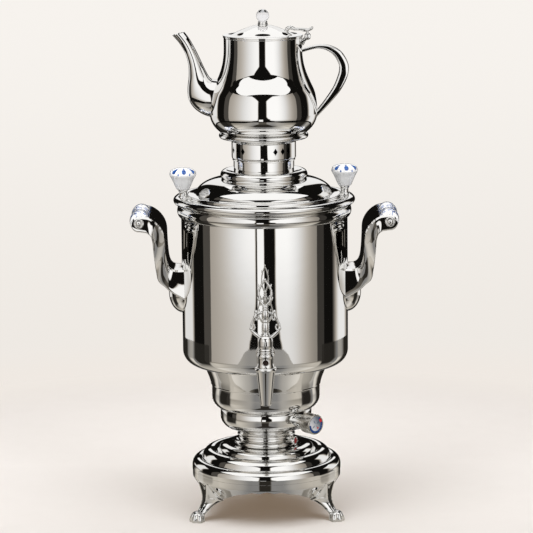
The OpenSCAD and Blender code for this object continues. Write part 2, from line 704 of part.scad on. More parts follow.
// Lower and upper edges of the bracket, seen from the front: shares of the way out from the tank
// to the grip, and of the bracket's height below the grip
root_x = tank_r - 3;
function edge(shares) = smooth([for (p = shares)
  [root_x + p[0] * (grip_reach - root_x), grip_h + p[1] * bracket_drop]], 3);
low_edge = edge([
  [0.837, -0.119], [0.753, -0.154], [0.706, -0.228], [0.683, -0.43], [0.646, -0.633],
  [0.594, -0.759], [0.445, -0.835], [0.315, -0.899], [0, -1]]);
high_edge = edge([
  [0, -0.624], [0.193, -0.624], [0.301, -0.6], [0.361, -0.538], [0.394, -0.43],
  [0.415, -0.291], [0.431, -0.165], [0.497, -0.07], [0.615, 0.008], [0.767, 0.062],
  [0.907, 0.077]]);
cheek_drop = 1.2;
end_arc = arc(grip_reach, grip_h - cheek_drop, cheek_r, cheek_r, 95, -95, 10);
// Half the bracket's width at height z above the grip, from the full span down to the foot
flare_top = -0.1 * bracket_drop;
flare_h = 0.58 * bracket_drop;
function half_w(z) = bracket_foot_w / 2 + (half_span - bracket_foot_w / 2)
  * (1 + cos(180 * min(1, max(0, (flare_top - z) / flare_h)))) / 2;
width_steps = 24;
function width_z(i) = 12 - i * (bracket_drop + 17) / width_steps;

module bracket_solid() intersection() {
  translate([0, half_span, 0]) rotate([90, 0, 0]) linear_extrude(2 * half_span)
    polygon(concat(low_edge, high_edge, end_arc));
  rotate([90, 0, 90]) linear_extrude(grip_reach + 20) polygon(concat(
    [for (i = [0:width_steps]) [half_w(width_z(i)), grip_h + width_z(i)]],
    [for (i = [width_steps:-1:0]) [-half_w(width_z(i)), grip_h + width_z(i)]]));
}
module bracket(s) color(STEEL) mirror([s < 0 ? 1 : 0, 0, 0]) difference() {
  bracket_solid();
  cylinder(r = tank_r, h = rim_z);
  translate([grip_reach, grip_len / 2 + loose, grip_h]) rotate([90, 0, 0])
    cylinder(r = grip_r + 1.4, h = grip_len + 2 * loose);
  translate([grip_reach, half_span + cut, grip_h]) rotate([90, 0, 0])
    cylinder(r = rod_r + run, h = 2 * (half_span + cut));
  translate([tank_r - 8, 0, bolt_h]) rotate([0, 90, 0]) cylinder(r = bolt_r + run, h = 17);
}
module handle_bracket_left() bracket(-1);
module handle_bracket_right() bracket(1);

boss_z = grip_h - 0.95 * bracket_drop;
boss_out = 15;
boss_line = concat([[0, 0]], arc(0, 0, boss_r, boss_out, 0, 90, 12));
module boss(s) color(STEEL) mirror([s < 0 ? 1 : 0, 0, 0]) difference() {
  translate([tank_r - 2, 0, boss_z]) rotate([0, 90, 0]) spun(boss_line);
  cylinder(r = tank_r, h = rim_z);
  bracket_solid();
}
module handle_boss_left() boss(-1);
module handle_boss_right() boss(1);

module at_grip(s) translate([s * grip_reach, 0, grip_h]) rotate([-90, 0, 0]) children();
cap_end_line = concat([[0, half_span], [4.8, half_span], [4.8, half_span + 0.8]],
  arc(0, half_span + 0.8, 4.4, 2.4, 10, 90, 6));
module grip_rod(s) color(STEEL) at_grip(s) {
  translate([0, 0, -half_span - 0.5]) cylinder(r = rod_r, h = 2 * half_span + 1);
  spun(cap_end_line);
  mirror([0, 0, 1]) spun(cap_end_line);
}
module grip_rod_left() grip_rod(-1);
module grip_rod_right() grip_rod(1);

// Half of a grip's outline: a full shoulder, a waist in the middle
g = grip_len / 2;
grip_half = smooth([[grip_r - 2.2, g], [grip_r - 0.9, g * 0.93], [grip_r, g * 0.6],
  [grip_r - 0.8, g * 0.25], [grip_r - 1.3, 0]], 4);
module grip(s) color(PORCELAIN) at_grip(s) difference() {
  spun(concat([[0, g]], grip_half, reversed([for (p = grip_half) [p[0], -p[1]]]), [[0, -g]]));
  translate([0, 0, -g - cut]) cylinder(r = rod_r + 0.1, h = grip_len + 2 * cut);
}
module grip_left() grip(-1);
module grip_right() grip(1);

// Each bolt goes from inside the tank through its wall into the bracket
bolt_head_r = 5.4;
bolt_head_h = 4;
module handle_bolts() color(STEEL) for (s = [-1, 1])
  translate([s * (tank_r - sheet), 0, bolt_h]) rotate([0, s * 90, 0]) {
    translate([0, 0, -1.5]) cylinder(r = bolt_r, h = sheet + 10);
    translate([0, 0, -bolt_head_h - 0.6]) cylinder(r = bolt_head_r, h = bolt_head_h);
  }

// ---------- lid ----------

// Everything of the lid is drawn from the rim's top upwards
lid_r = tank_r + lid_over;
lid_dome_r = tank_r - lid_dome_in;
lid_knob_reach = tank_r - lid_knob_in;
roll_r = 5.4;
roll_c = [lid_r - roll_r, roll_h / 2];
ring_tube = 5.2;
ring_c = [lid_ring_r - ring_tube, plateau_z + lid_dome_h + 3.1];
// The dome stands on a plateau, and a low step leads down to the gutter inside the roll
plateau_r = tank_r - 6;
gutter_z = 6.9;
dome_sink = 1.5;
dome_c = [lid_ring_r - 4.6, plateau_z - dome_sink];
dome_rx = lid_dome_r - dome_c[0];
lid_top_line = concat(
  [[chimney_r, ring_c[1] + 4.9], [ring_c[0] - 3, ring_c[1] + ring_tube - 0.5]],
  arc(ring_c[0], ring_c[1], ring_tube, ring_tube, 105, -36, 9),
  arc(dome_c[0], dome_c[1], dome_rx, lid_dome_h + dome_sink, 80, 8, 12),
  [[lid_dome_r + 1.4, plateau_z]],
  arc(plateau_r - 1.6, plateau_z - 1.6, 1.6, 1.6, 90, 0, 4),
  [[plateau_r, gutter_z + 0.6], [plateau_r + 1, gutter_z], [lid_r - 2 * roll_r + 2, gutter_z]]);
chimney_top = plateau_z + chimney_h;
stop_out = 1;
stop_h = 1.3;
chimney_line = [
  [chimney_r, chimney_top + spigot_h], [chimney_r, chimney_top], [chimney_r + stop_out, chimney_top],
  [chimney_r + stop_out, chimney_top - stop_h], [chimney_r, chimney_top - stop_h], [chimney_r, ring_c[1]],
  [chimney_r - sheet, ring_c[1]], [chimney_r - sheet, chimney_top + spigot_h]];
module roll() rotate_extrude() translate(roll_c) polygon(arc(0, 0, roll_r, roll_h / 2, 0, 345, 23));
plug_h = 7;
plug_ring_r = tank_r - sheet - 2 - loose;
stem_screw_r = 1.6;
module lid_knob_places() rotate([0, 0, lid_turn])
  for (s = [-1, 1]) translate([s * lid_knob_reach, 0, 0]) children();
module lid() color(STEEL) translate([0, 0, rim_z]) difference() {
  union() {
    shell(lid_top_line, -sheet);
    spun(chimney_line);
    roll();
    translate([0, 0, -plug_h]) tube(plug_ring_r, plug_ring_r - 1.5, plug_h + gutter_z - 0.5);
  }
  lid_knob_places() cylinder(r = stem_screw_r + run, h = 30, center = true);
}

// Turned stems: a foot on the lid, a waist, and a disc under the porcelain
stem_z = rim_z + roll_h - 0.3;
stem_r = 5;
stem_disc = 1.6;
stem_top = stem_z + lid_stem_h;
stem_waist_r = stem_r - 1;
stem_line = [[0, rim_z + 4], [stem_r, rim_z + 4], [stem_r, stem_z + 0.4], [stem_waist_r, stem_z + 1.4],
  [stem_waist_r, stem_top - stem_disc - 1], [stem_r, stem_top - stem_disc], [stem_r, stem_top],
  [0, stem_top]];
module lid_knob_stems() color(STEEL) difference() {
  lid_knob_places() {
    spun(stem_line);
    translate([0, 0, rim_z + 2]) cylinder(r = stem_screw_r, h = stem_top + lid_knob_h - rim_z - 2.3);
  }
  translate([0, 0, rim_z]) difference() {
    union() {
      spun(concat([[0, -20], [0, ring_c[1]]], lid_top_line, [[lid_r - 2 * roll_r + 2, -20]]));
      roll();
    }
    lid_knob_places() cylinder(r = stem_screw_r + run / 2, h = 60, center = true);
  }
}
// Shares of the knob's radius and height
knob_shape = [[0.5, 0.02], [0.65, 0.22], [0.82, 0.46], [0.97, 0.63], [1, 0.72], [0.9, 0.87],
  [0.55, 0.97], [0.15, 1]];
lid_knob_line = concat([[0, 0], [lid_knob_r * 0.48, 0]],
  smooth([for (p = knob_shape) [p[0] * lid_knob_r, p[1] * lid_knob_h]], 3), [[0, lid_knob_h]]);
module lid_knob(s) color(PORCELAIN) translate([0, 0, stem_top]) rotate([0, 0, lid_turn])
  translate([s * lid_knob_reach, 0, 0]) difference() {
    spun(lid_knob_line);
    translate([0, 0, -cut]) cylinder(r = stem_screw_r + run, h = lid_knob_h + 2 * cut);
  }
module lid_knob_left() lid_knob(-1);
module lid_knob_right() lid_knob(1);

// ---------- crown ----------

// A drum that drops over the spigot, with a cup on top that holds the teapot
cup_roll = 2.5;
cup_c = [cup_r - cup_roll, pot_seat + 2];
steam_r = 26;
crown_bore = chimney_r + loose;
crown_outer = concat([[crown_bore + 0.5, 0]], arc(drum_r - 0.9, 2.6, 0.9, 2.2, -80, 0, 4),
  [[drum_r, drum_h - 0.4], [drum_r + 1.6, drum_h + 0.8], [cup_c[0] - 1, pot_seat - 0.3]]);
crown_inner = [[cup_c[0] - 1.8, pot_seat + 1.3], [cup_c[0] - 3, pot_seat], [steam_r, pot_seat],
  [steam_r, pot_seat - sheet], [crown_bore, pot_seat - sheet - 1.6], [crown_bore, 0]];
vent_turn = 35.5;
module crown() color(STEEL) translate([0, 0, crown_z]) difference() {
  union() {
    spun(concat(crown_outer, crown_inner));
    rotate_extrude() translate(cup_c) circle(r = cup_roll);
  }
  for (g = [0:3], i = [0:vents_per_group - 1])
    radial(vent_turn + 90 * g + (i - (vents_per_group - 1) / 2) * vent_pitch, drum_h * 0.55)
      translate([0, 0, chimney_r - 3]) linear_extrude(8)
        polygon([[-vent_h / 2, 0], [0, -vent_w / 2], [vent_h / 2, 0], [0, vent_w / 2]]);
}

// ---------- teapot ----------

// Everything of the teapot is drawn from its flat bottom upwards
belly_c = [24, belly_z];
pot_line = concat(
  [[0, 0], [20, 0]],
  arc(belly_c[0], belly_c[1], belly_r - belly_c[0], belly_z, -90, 0, 12),
  smooth([[belly_r - 0.1, belly_z + 5], [belly_r - 0.8, belly_z + 12.5], [belly_r - 2.6, belly_z + 21],
    [belly_r - 6.6, belly_z + 30], [mouth_r + 4.3, belly_z + 38], [mouth_r + 1.8, belly_z + 46],
    [mouth_r + 0.4, pot_h - 20], [mouth_r, pot_h - 13], [mouth_r, pot_h - 1.6]], 3),
  [[mouth_r + 0.6, pot_h - 1.2], [mouth_r + 0.6, pot_h]]);
module pot_envelope() spun(concat(pot_line, [[0, pot_h]]));
module at_pot() translate([0, 0, pot_z]) children();

strainer_z = pot_h * 0.335;
module teapot_body() color(STEEL) at_pot() difference() {
  shell(pot_line, pot_wall);
  for (dz = [-8:8:8], dy = [-6:6:6]) translate([-belly_r - 4, dy, strainer_z + dz]) rotate([0, 90, 0])
    cylinder(r = 2.2, h = 16);
}

// Sections of the spout: how far the outer edge stands past the belly and its share of the pot's
// height, the same two for the inner edge, and half the width
spout_plan = [
  [-7.3, 0.198, -10.3, 0.573, 13.5], [0.9, 0.209, -6.3, 0.575, 13.5], [9.1, 0.246, -2.9, 0.581, 12.8],
  [16.1, 0.307, 0.1, 0.606, 11.6], [20.5, 0.392, 2.3, 0.644, 10.2], [21.1, 0.498, 4.9, 0.697, 9],
  [19.9, 0.606, 7.5, 0.756, 8], [20.1, 0.717, 10.7, 0.827, 7.2], [22.9, 0.829, 14.7, 0.909, 6.5],
  [28.1, 0.929, 18.9, 0.984, 6], [35.3, 1.016, 23.3, 1.047, 5.8]];
spout_cuts = [for (c = spout_plan)
  [[-belly_r - c[0], pot_h * c[1]], [-belly_r - c[2], pot_h * c[3]], c[4]]];
spout_sides = 20;
// Ring of points for section c, drawn in by t and moved by v
function spout_ring(c, t, v) =
  let (mid = (c[0] + c[1]) / 2 + v, half = (c[0] - c[1]) / 2, u = half - t * unit(half))
  [for (k = [0:spout_sides - 1]) let (a = 360 * (k + 0.5) / spout_sides)
    [mid[0] + u[0] * cos(a), (c[2] - t) * sin(a), mid[1] + u[1] * cos(a)]];
// The spout's body drawn in by t, its mouth moved out by v and its root moved in by v
module spout_solid(t, v) {
  last = len(spout_cuts) - 1;
  loft([for (i = [0:last]) spout_ring(spout_cuts[i], t, (i == last ? 1 : i == 0 ? -1 : 0) * v)]);
}
module teapot_spout() color(STEEL) at_pot() difference() {
  spout_solid(0, [0, 0]);
  spout_solid(spout_wall, [-1.5, 2]);
  pot_envelope();
}

// Middle line of the handle: how far it stands past the belly, and its share of the pot's height
ear_plan = [
  [-15.8, 0.85], [-7.3, 0.876], [1.2, 0.892], [10.9, 0.878], [19.9, 0.821],
  [25.4, 0.728], [26.1, 0.659], [24.3, 0.585], [19.1, 0.476], [11.2, 0.367],
  [2.5, 0.263], [-4.3, 0.188]];
ear_path = [for (p = ear_plan) [belly_r + p[0], pot_h * p[1]]];
ear_thick = [3, 2.8, 3.2, 5, 7.6, 9, 9.2, 8.8, 7.4, 5.8, 4.4, 4];
module teapot_handle() color(STEEL) at_pot() difference() {
  path = smooth(ear_path, 2);
  last = len(path) - 1;
  thick = [for (v = smooth([for (t = ear_thick) [t, 0]], 2)) v[0]];
  strap(path, thick, [for (i = [0:last]) ear_w - 3 + 3 * sin(180 * i / last)], 12, 0.75);
  pot_envelope();
}

// Lid hinge: two outer knuckles on the pot, one on the lid's lever between them
hinge_drop = 0.6;
knuckle_w = 4.4;
knuckle_gap = 0.2;
arm_h = 3.4;
arm_len = hinge_reach - mouth_r + 1;
module at_hinge() translate([hinge_reach, 0, pot_z + pot_h - hinge_drop]) children();
module knuckle(r, w) rotate([90, 0, 0]) cylinder(r = r, h = w, center = true);
module hinge_bracket() color(STEEL) difference() {
  at_hinge() {
    for (s = [-1, 1]) translate([0, s * (knuckle_w + knuckle_gap), 0]) {
      knuckle(knuckle_r, knuckle_w);
      translate([-arm_len, -knuckle_w / 2, -5]) cube([arm_len, knuckle_w, arm_h]);
    }
    translate([-arm_len, -1.5 * knuckle_w, -8.6]) cube([3.4, 3 * knuckle_w, 4.6]);
  }
  at_hinge() knuckle(hinge_pin_r, 6 * knuckle_w);
  at_pot() pot_envelope();
  translate([0, 0, pot_z + pot_h - 0.2]) cylinder(r = mouth_r + 2.2, h = 6);
}
module hinge_pin() color(STEEL) at_hinge() knuckle(hinge_pin_r, 3 * knuckle_w + 2);

// The teapot's lid is drawn from the pot's brim upwards
pot_lid_r = mouth_r + 0.9;
pot_lid_wall = 1.1;
pot_lid_curve = smooth([[4, pot_lid_h], [11.3, pot_lid_h - 1.3], [22.4, pot_lid_h - 5.4],
  [30, 1.8], [33, 1.2]], 3);
pot_lid_line = concat([[0, pot_lid_h]], pot_lid_curve, [[pot_lid_r, 1.2]]);
pot_lid_inner = [for (p = pot_lid_curve) if (p[0] < 31) p - [0, pot_lid_wall]];
pot_lid_skirt_r = mouth_r - pot_wall - loose;
module at_lid() translate([0, 0, pot_z + pot_h]) children();
module under_lid() spun(concat(pot_lid_line, [[pot_lid_r, -8], [0, -8]]));
module teapot_lid() color(STEEL) at_lid() {
  spun(concat(pot_lid_line, [[pot_lid_r, 0], [mouth_r - 5.6, 0]], reversed(pot_lid_inner),
    [[0, pot_lid_h - pot_lid_wall]]));
  translate([0, 0, -3.4]) tube(pot_lid_skirt_r, pot_lid_skirt_r - 1, 3.8);
}
lever_path = smooth([[22.6, pot_lid_h - 4], [30, 5.6], [38, 5.2], [hinge_reach - 0.6, 4.6],
  [hinge_reach + 4.2, 6.4]], 3);
lever_t = 1.9;
lever_w = 5.2;
lug_w = knuckle_w - knuckle_gap;
module lid_lever() color(STEEL) difference() {
  union() {
    at_lid() {
      strap(lever_path, [for (v = lever_path) lever_t], [for (v = lever_path) lever_w], 8, 0.8);
      translate([lever_path[0][0] + 0.6, 0, lever_path[0][1] - 1]) knuckle(2.2, 4);
    }
    at_hinge() {
      knuckle(knuckle_r, lug_w);
      translate([-1.4, -lug_w / 2, 0]) cube([2.8, lug_w, 5.6]);
    }
  }
  at_hinge() knuckle(hinge_pin_r + run, 6 * knuckle_w);
  at_lid() under_lid();
}

// Finial: a turned foot that carries the ball in a shallow cup
ball_z = pot_lid_h + finial_h + crystal_r - 1;
finial_line = concat([[0, -0.6], [5, -0.6], [5, 0.5]], arc(4.1, 1.1, 0.9, 0.6, -60, 60, 3),
  arc(4.1, 2.3, 0.8, 0.6, -60, 60, 3), [[3.6, finial_h], [0, finial_h]]);
module ball() translate([0, 0, ball_z]) sphere(r = crystal_r);
module finial_stem() color(STEEL) at_lid() difference() {
  translate([0, 0, pot_lid_h]) spun(finial_line);
  under_lid();
  ball();
}
module crystal_knob() color(CRYSTAL) at_lid() ball();

// ---------- output ----------

base_skirt();
foot_left();
foot_right();
foot_rear();
foot_screws();
base_dome();
bottom_plate();
tie_rod();
tie_nut();
neck_column();
lamp_bezel();
lamp_lens();
lower_bowl();
power_inlet();
inlet_pins();
thermostat_body();
thermostat_bush();
thermostat_shaft();
thermostat_knob();
dial_face();
body_tank();
rim_ring();
heating_element();
element_nuts();
element_seals();
safety_cutout();
tap_body();
tap_nozzle();
tap_collar();
tap_plug();
tap_cap();
tap_key();
tap_seal();
tap_nut();
handle_bracket_left();
handle_bracket_right();
handle_boss_left();
handle_boss_right();
grip_rod_left();
grip_rod_right();
grip_left();
grip_right();
handle_bolts();
lid();
lid_knob_stems();
lid_knob_left();
lid_knob_right();
crown();
teapot_body();
teapot_spout();
teapot_handle();
hinge_bracket();
hinge_pin();
teapot_lid();
lid_lever();
finial_stem();
crystal_knob();
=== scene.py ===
"""Looks of the electric samovar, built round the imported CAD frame. Metres, +Z up, the tap faces -Y."""

import json
from math import asin, copysign, cos, degrees, exp, hypot, pi, radians, sin, sqrt

import bmesh
import bpy
from mathutils import Matrix, Vector

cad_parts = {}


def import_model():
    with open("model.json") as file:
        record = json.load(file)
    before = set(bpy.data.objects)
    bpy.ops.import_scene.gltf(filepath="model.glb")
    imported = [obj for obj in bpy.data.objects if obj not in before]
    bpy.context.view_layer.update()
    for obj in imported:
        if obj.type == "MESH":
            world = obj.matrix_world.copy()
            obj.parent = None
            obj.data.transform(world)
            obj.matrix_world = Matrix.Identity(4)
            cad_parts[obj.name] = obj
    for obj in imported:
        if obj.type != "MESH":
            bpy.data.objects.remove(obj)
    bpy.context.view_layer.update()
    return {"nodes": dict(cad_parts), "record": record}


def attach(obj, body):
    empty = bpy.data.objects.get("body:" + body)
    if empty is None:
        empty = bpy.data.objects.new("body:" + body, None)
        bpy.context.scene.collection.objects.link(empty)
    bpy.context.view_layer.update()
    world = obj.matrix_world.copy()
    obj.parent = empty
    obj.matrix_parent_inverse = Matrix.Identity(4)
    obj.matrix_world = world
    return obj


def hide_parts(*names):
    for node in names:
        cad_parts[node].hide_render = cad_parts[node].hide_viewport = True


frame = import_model()
MM = 0.001
SEGMENTS, FINE = 288, 360
# Distances in metres below which vertices merge and slivers are taken out
MERGE, SLIVER = 1e-7, 1e-8

# The same named sizes as in the part's source, in millimetres
SEAM_H, SKIRT_R, SKIRT_FOOT_R, SKIRT_H, BAND_H, SKIRT_WALL = 44.8, 73.3, 63.6, 22.4, 6.5, 1.6
ARCH_RISE, ARCH_HALF_W, OGEE = 14.0, 46.0, 0.8
DOME_R, DOME_RISE, SHEET = 73.6, 24.7, 1.2
PAW_REACH = 78.0
NECK_H, NECK_R = 16.6, 27.2
TIER_3_H, TIER_3_R, TIER_2_H, TIER_2_R, TIER_1_H, TIER_1_R = 20.2, 45.0, 24.5, 53.2, 19.2, 61.0
TANK_R, TANK_H, TANK_CORNER, RIM_OUT, RIM_H = 81.4, 160.3, 13.5, 4.0, 12.6
LID_R, ROLL_H, ROLL_R, LID_RING_R, RING_TUBE = TANK_R + 7.4, 8.0, 5.4, 42.6, 5.2
PLATEAU_Z, PLATEAU_R, GUTTER_Z = 10.1, TANK_R - 6, 6.9
LID_DOME_R, LID_DOME_H, DOME_SINK = TANK_R - 14, 15.1, 1.5
CHIMNEY_R, CHIMNEY_H, SPIGOT_H = 29.6, 34.1, 7.5
LID_TURN, KNOB_REACH, KNOB_R, KNOB_H, STEM_H, STEM_R = 6.5, TANK_R - 1.9, 12.9, 21.0, 7.9, 5.0
DRUM_R, DRUM_H, CUP_R, VENT_H, VENT_W, VENT_PITCH, VENT_TURN = 31.4, 17.4, 43.6, 7.0, 4.6, 14.5, 35.5
BELLY_R, BELLY_Z, MOUTH_R, POT_H, POT_WALL, POT_LID_H = 52.3, 24.0, 38.0, 98.4, 1.0, 10.8
SKIRT_LOW = SEAM_H - SKIRT_H
DOME_TOP = SEAM_H + DOME_RISE
NECK_TOP = DOME_TOP + NECK_H
TIER_2_Z = NECK_TOP + TIER_3_H
TIER_1_Z = TIER_2_Z + TIER_2_H
TANK_Z = TIER_1_Z + TIER_1_H
RIM_Z = TANK_Z + TANK_H
CROWN_Z = RIM_Z + PLATEAU_Z + CHIMNEY_H
POT_SEAT = DRUM_H + 3.3
POT_Z = CROWN_Z + POT_SEAT
POT_TOP = POT_Z + POT_H
TAP_REACH, TAP_H = 118.0, TANK_Z + 28.0
BARREL_R, BARREL_H, TAP_BORE_R, PIPE_R, COLLAR_H, KEY_CAP_H = 8.3, 12.2, 3.4, 5.6, 3.5, 16.4
GRIP_REACH, GRIP_H, GRIP_LEN, GRIP_R, GRIP_PLAY, ROD_R = 121.3, TANK_Z + 147.0, 66.0, 9.6, 0.3, 3.0
CHEEK, FOOT_W, DROP = 6.5, 44.0, 79.0
HALF_SPAN = GRIP_LEN / 2 + GRIP_PLAY + CHEEK
BOSS_R, BOSS_OUT, BOSS_Z = 20.0, 15.0, GRIP_H - 0.95 * DROP
DIAL_TURN, DIAL_R, DIAL_LEN, DIAL_REACH = 41.6, 9.9, 15.0, 73.5
KNOB_Z = NECK_TOP + TIER_3_H - 6.2
LAMP_TURN, LAMP_R = 64.0, 3.2
LAMP_Z = DOME_TOP + LAMP_R + 1.4 + 0.3

# ------------ outlines and places


def arc(cx, cz, rx, rz, a0, a1, n=24):
    """Part of an ellipse, from angle a0 to a1 in degrees."""
    angles = [radians(a0 + (a1 - a0) * i / n) for i in range(n + 1)]
    return [(cx + rx * cos(a), cz + rz * sin(a)) for a in angles]


def smooth(points, n=8):
    """Catmull-Rom curve through the points, the same curve as in the part's source."""
    out, last = [], len(points) - 1
    for i in range(last):
        a, b, c, d = (Vector(points[min(max(i + k, 0), last)]) for k in (-1, 0, 1, 2))
        for k in range(n):
            t = k / n
            out.append(tuple(0.5 * (2 * b + (c - a) * t + (2 * a - 5 * b + 4 * c - d) * t * t
                                    + (3 * b - a - 3 * c + d) * t ** 3)))
    return out + [tuple(points[-1])]


def eased(values, n=8):
    """The same curve through single numbers."""
    return [p[0] for p in smooth([(v, 0) for v in values], n)]


def tidy(points, least=0.02):
    """Drops points that lie on the one before."""
    out = [Vector(points[0])]
    for p in points[1:]:
        if (Vector(p) - out[-1]).length > least:
            out.append(Vector(p))
    return [tuple(p) for p in out]


def left_of(a, b):
    """Unit vector to the left of the way from a to b."""
    d = Vector(b) - Vector(a)
    return Vector((-d[1], d[0])).normalized()


def offset_line(points, t):
    """The line at distance t to the left of the points."""
    out, last = [], len(points) - 1
    for i, p in enumerate(points):
        before, after = max(i, 1), min(i, last - 1)
        m = left_of(points[before - 1], points[before]) + left_of(points[after], points[after + 1])
        out.append(tuple(Vector(p) + m * (2 * t / m.dot(m))))
    return out


def wall(points, t):
    """Closed outline of a sheet of thickness t along the points."""
    points = tidy(points)
    return points + offset_line(points, t)[::-1]


def round_angles(n, part=0.0):
    """Even angles round a circle, turned by a part of a step."""
    return [2 * pi * (k + part) / n for k in range(n)]


def shift(x=0.0, y=0.0, z=0.0):
    return Matrix.Translation((x, y, z))


def rotate(angle, axis):
    return Matrix.Rotation(radians(angle), 4, axis)


def radial_place(turn, z, out=0.0):
    """Z of the piece points outwards, turned right of the tap."""
    return shift(z=z) @ rotate(turn - 90, "Z") @ rotate(90, "Y") @ shift(z=out)


def knob_place(side):
    """Axis of the left (-1) or right (1) lid knob."""
    return rotate(LID_TURN, "Z") @ shift(side * KNOB_REACH)


# ------------ meshes, as (verts, faces) in millimetres


def grid(rows, n, round_rows=True, round_n=True):
    """Faces between neighbouring rows of n points; either way can close on itself."""
    return [(s * n + i, (s + 1) % rows * n + i, (s + 1) % rows * n + (i + 1) % n, s * n + (i + 1) % n)
            for s in range(rows if round_rows else rows - 1) for i in range(n if round_n else n - 1)]


def moved(data, place):
    """The same (verts, faces) at another place."""
    verts, faces = data
    return [tuple(place @ Vector(v)) for v in verts], faces


def spin(profile, segments=SEGMENTS, place=Matrix.Identity(4), closed=True):
    """An outline of (radius, height) turned round Z."""
    profile = tidy(profile)
    verts = [(max(r, 0) * cos(a), max(r, 0) * sin(a), z) for a in round_angles(segments) for r, z in profile]
    return moved((verts, grid(segments, len(profile), True, closed)), place)


def slices(outlines):
    """Vertices of upright outlines of (radius, height) at even angles, the first one at the front."""
    turns = round_angles(len(outlines))
    return [(r * sin(a), -r * cos(a), z) for a, outline in zip(turns, outlines) for r, z in outline]


def ring_at(p, n, outline):
    """An outline round point p of the XZ plane: its first coordinate lies along n, its second along Y."""
    return [(p[0] + n[0] * u, v, p[1] + n[1] * u) for u, v in outline]


def loft(rings):
    """Closed body through rings of equally many points."""
    n, last = len(rings[0]), (len(rings) - 1) * len(rings[0])
    caps = [tuple(range(n)), tuple(range(last, last + n))[::-1]]
    return [tuple(p) for ring in rings for p in ring], grid(len(rings), n, False) + caps


def clean_mesh(name, parts):
    """Mesh in metres of all the parts."""
    verts, faces = [], []
    for v, f in parts:
        base = len(verts)
        verts += [tuple(c * MM for c in p) for p in v]
        faces += [tuple(base + i for i in face) for face in f]
    me = bpy.data.meshes.new(name)
    me.from_pydata(verts, [], faces)
    bm = bmesh.new()
    bm.from_mesh(me)
    bmesh.ops.remove_doubles(bm, verts=bm.verts, dist=MERGE)
    bmesh.ops.dissolve_degenerate(bm, edges=bm.edges, dist=SLIVER)
    bmesh.ops.recalc_face_normals(bm, faces=bm.faces)
    bm.to_mesh(me)
    bm.free()
    return me


def dress(me, node=None, body="samovar", slot="polished_steel", look=None, sharp=32):
    """Makes a smooth-shaded piece with crisp creases, which rides on its body and stands for a CAD node."""
    me.shade_smooth()
    me.set_sharp_from_angle(angle=radians(sharp))
    me.materials.append(FINISH[look or slot])
    ob = bpy.data.objects.new(me.name, me)
    bpy.context.scene.collection.objects.link(ob)
    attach(ob, body)
    if node:
        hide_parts(node)


def piece(name, *parts, **how):
    """One piece of one or more (verts, faces)."""
    dress(clean_mesh(name, parts), **how)


def carved_piece(name, solid, tool, **how):
    """The solid without the tool's space."""
    made = [bpy.data.objects.new(name + "_raw", clean_mesh(name + "_raw", [data])) for data in (solid, tool)]
    for ob in made:
        bpy.context.scene.collection.objects.link(ob)
    cut = made[0].modifiers.new("carve", "BOOLEAN")
    cut.object, cut.operation, cut.solver = made[1], "DIFFERENCE", "EXACT"
    view = bpy.context.evaluated_depsgraph_get()
    me = bpy.data.meshes.new_from_object(made[0].evaluated_get(view))
    me.name = name
    me.materials.clear()
    for ob in made:
        raw = ob.data
        bpy.data.objects.remove(ob)
        bpy.data.meshes.remove(raw)
    dress(me, **how)


# ------------ node helpers


class Value:
    """A number in a node tree: sums, products and the like with it make math nodes."""

    def __init__(self, graph, socket):
        self.graph, self.socket = graph, socket

    def __add__(self, other):
        return self.graph.math("ADD", self, other)

    def __sub__(self, other):
        return self.graph.math("SUBTRACT", self, other)

    def __mul__(self, other):
        return self.graph.math("MULTIPLY", self, other)

    def __truediv__(self, other):
        return self.graph.math("DIVIDE", self, other)

    def __rsub__(self, other):
        return self.graph.math("SUBTRACT", other, self)

    def __abs__(self):
        return self.graph.math("ABSOLUTE", self)


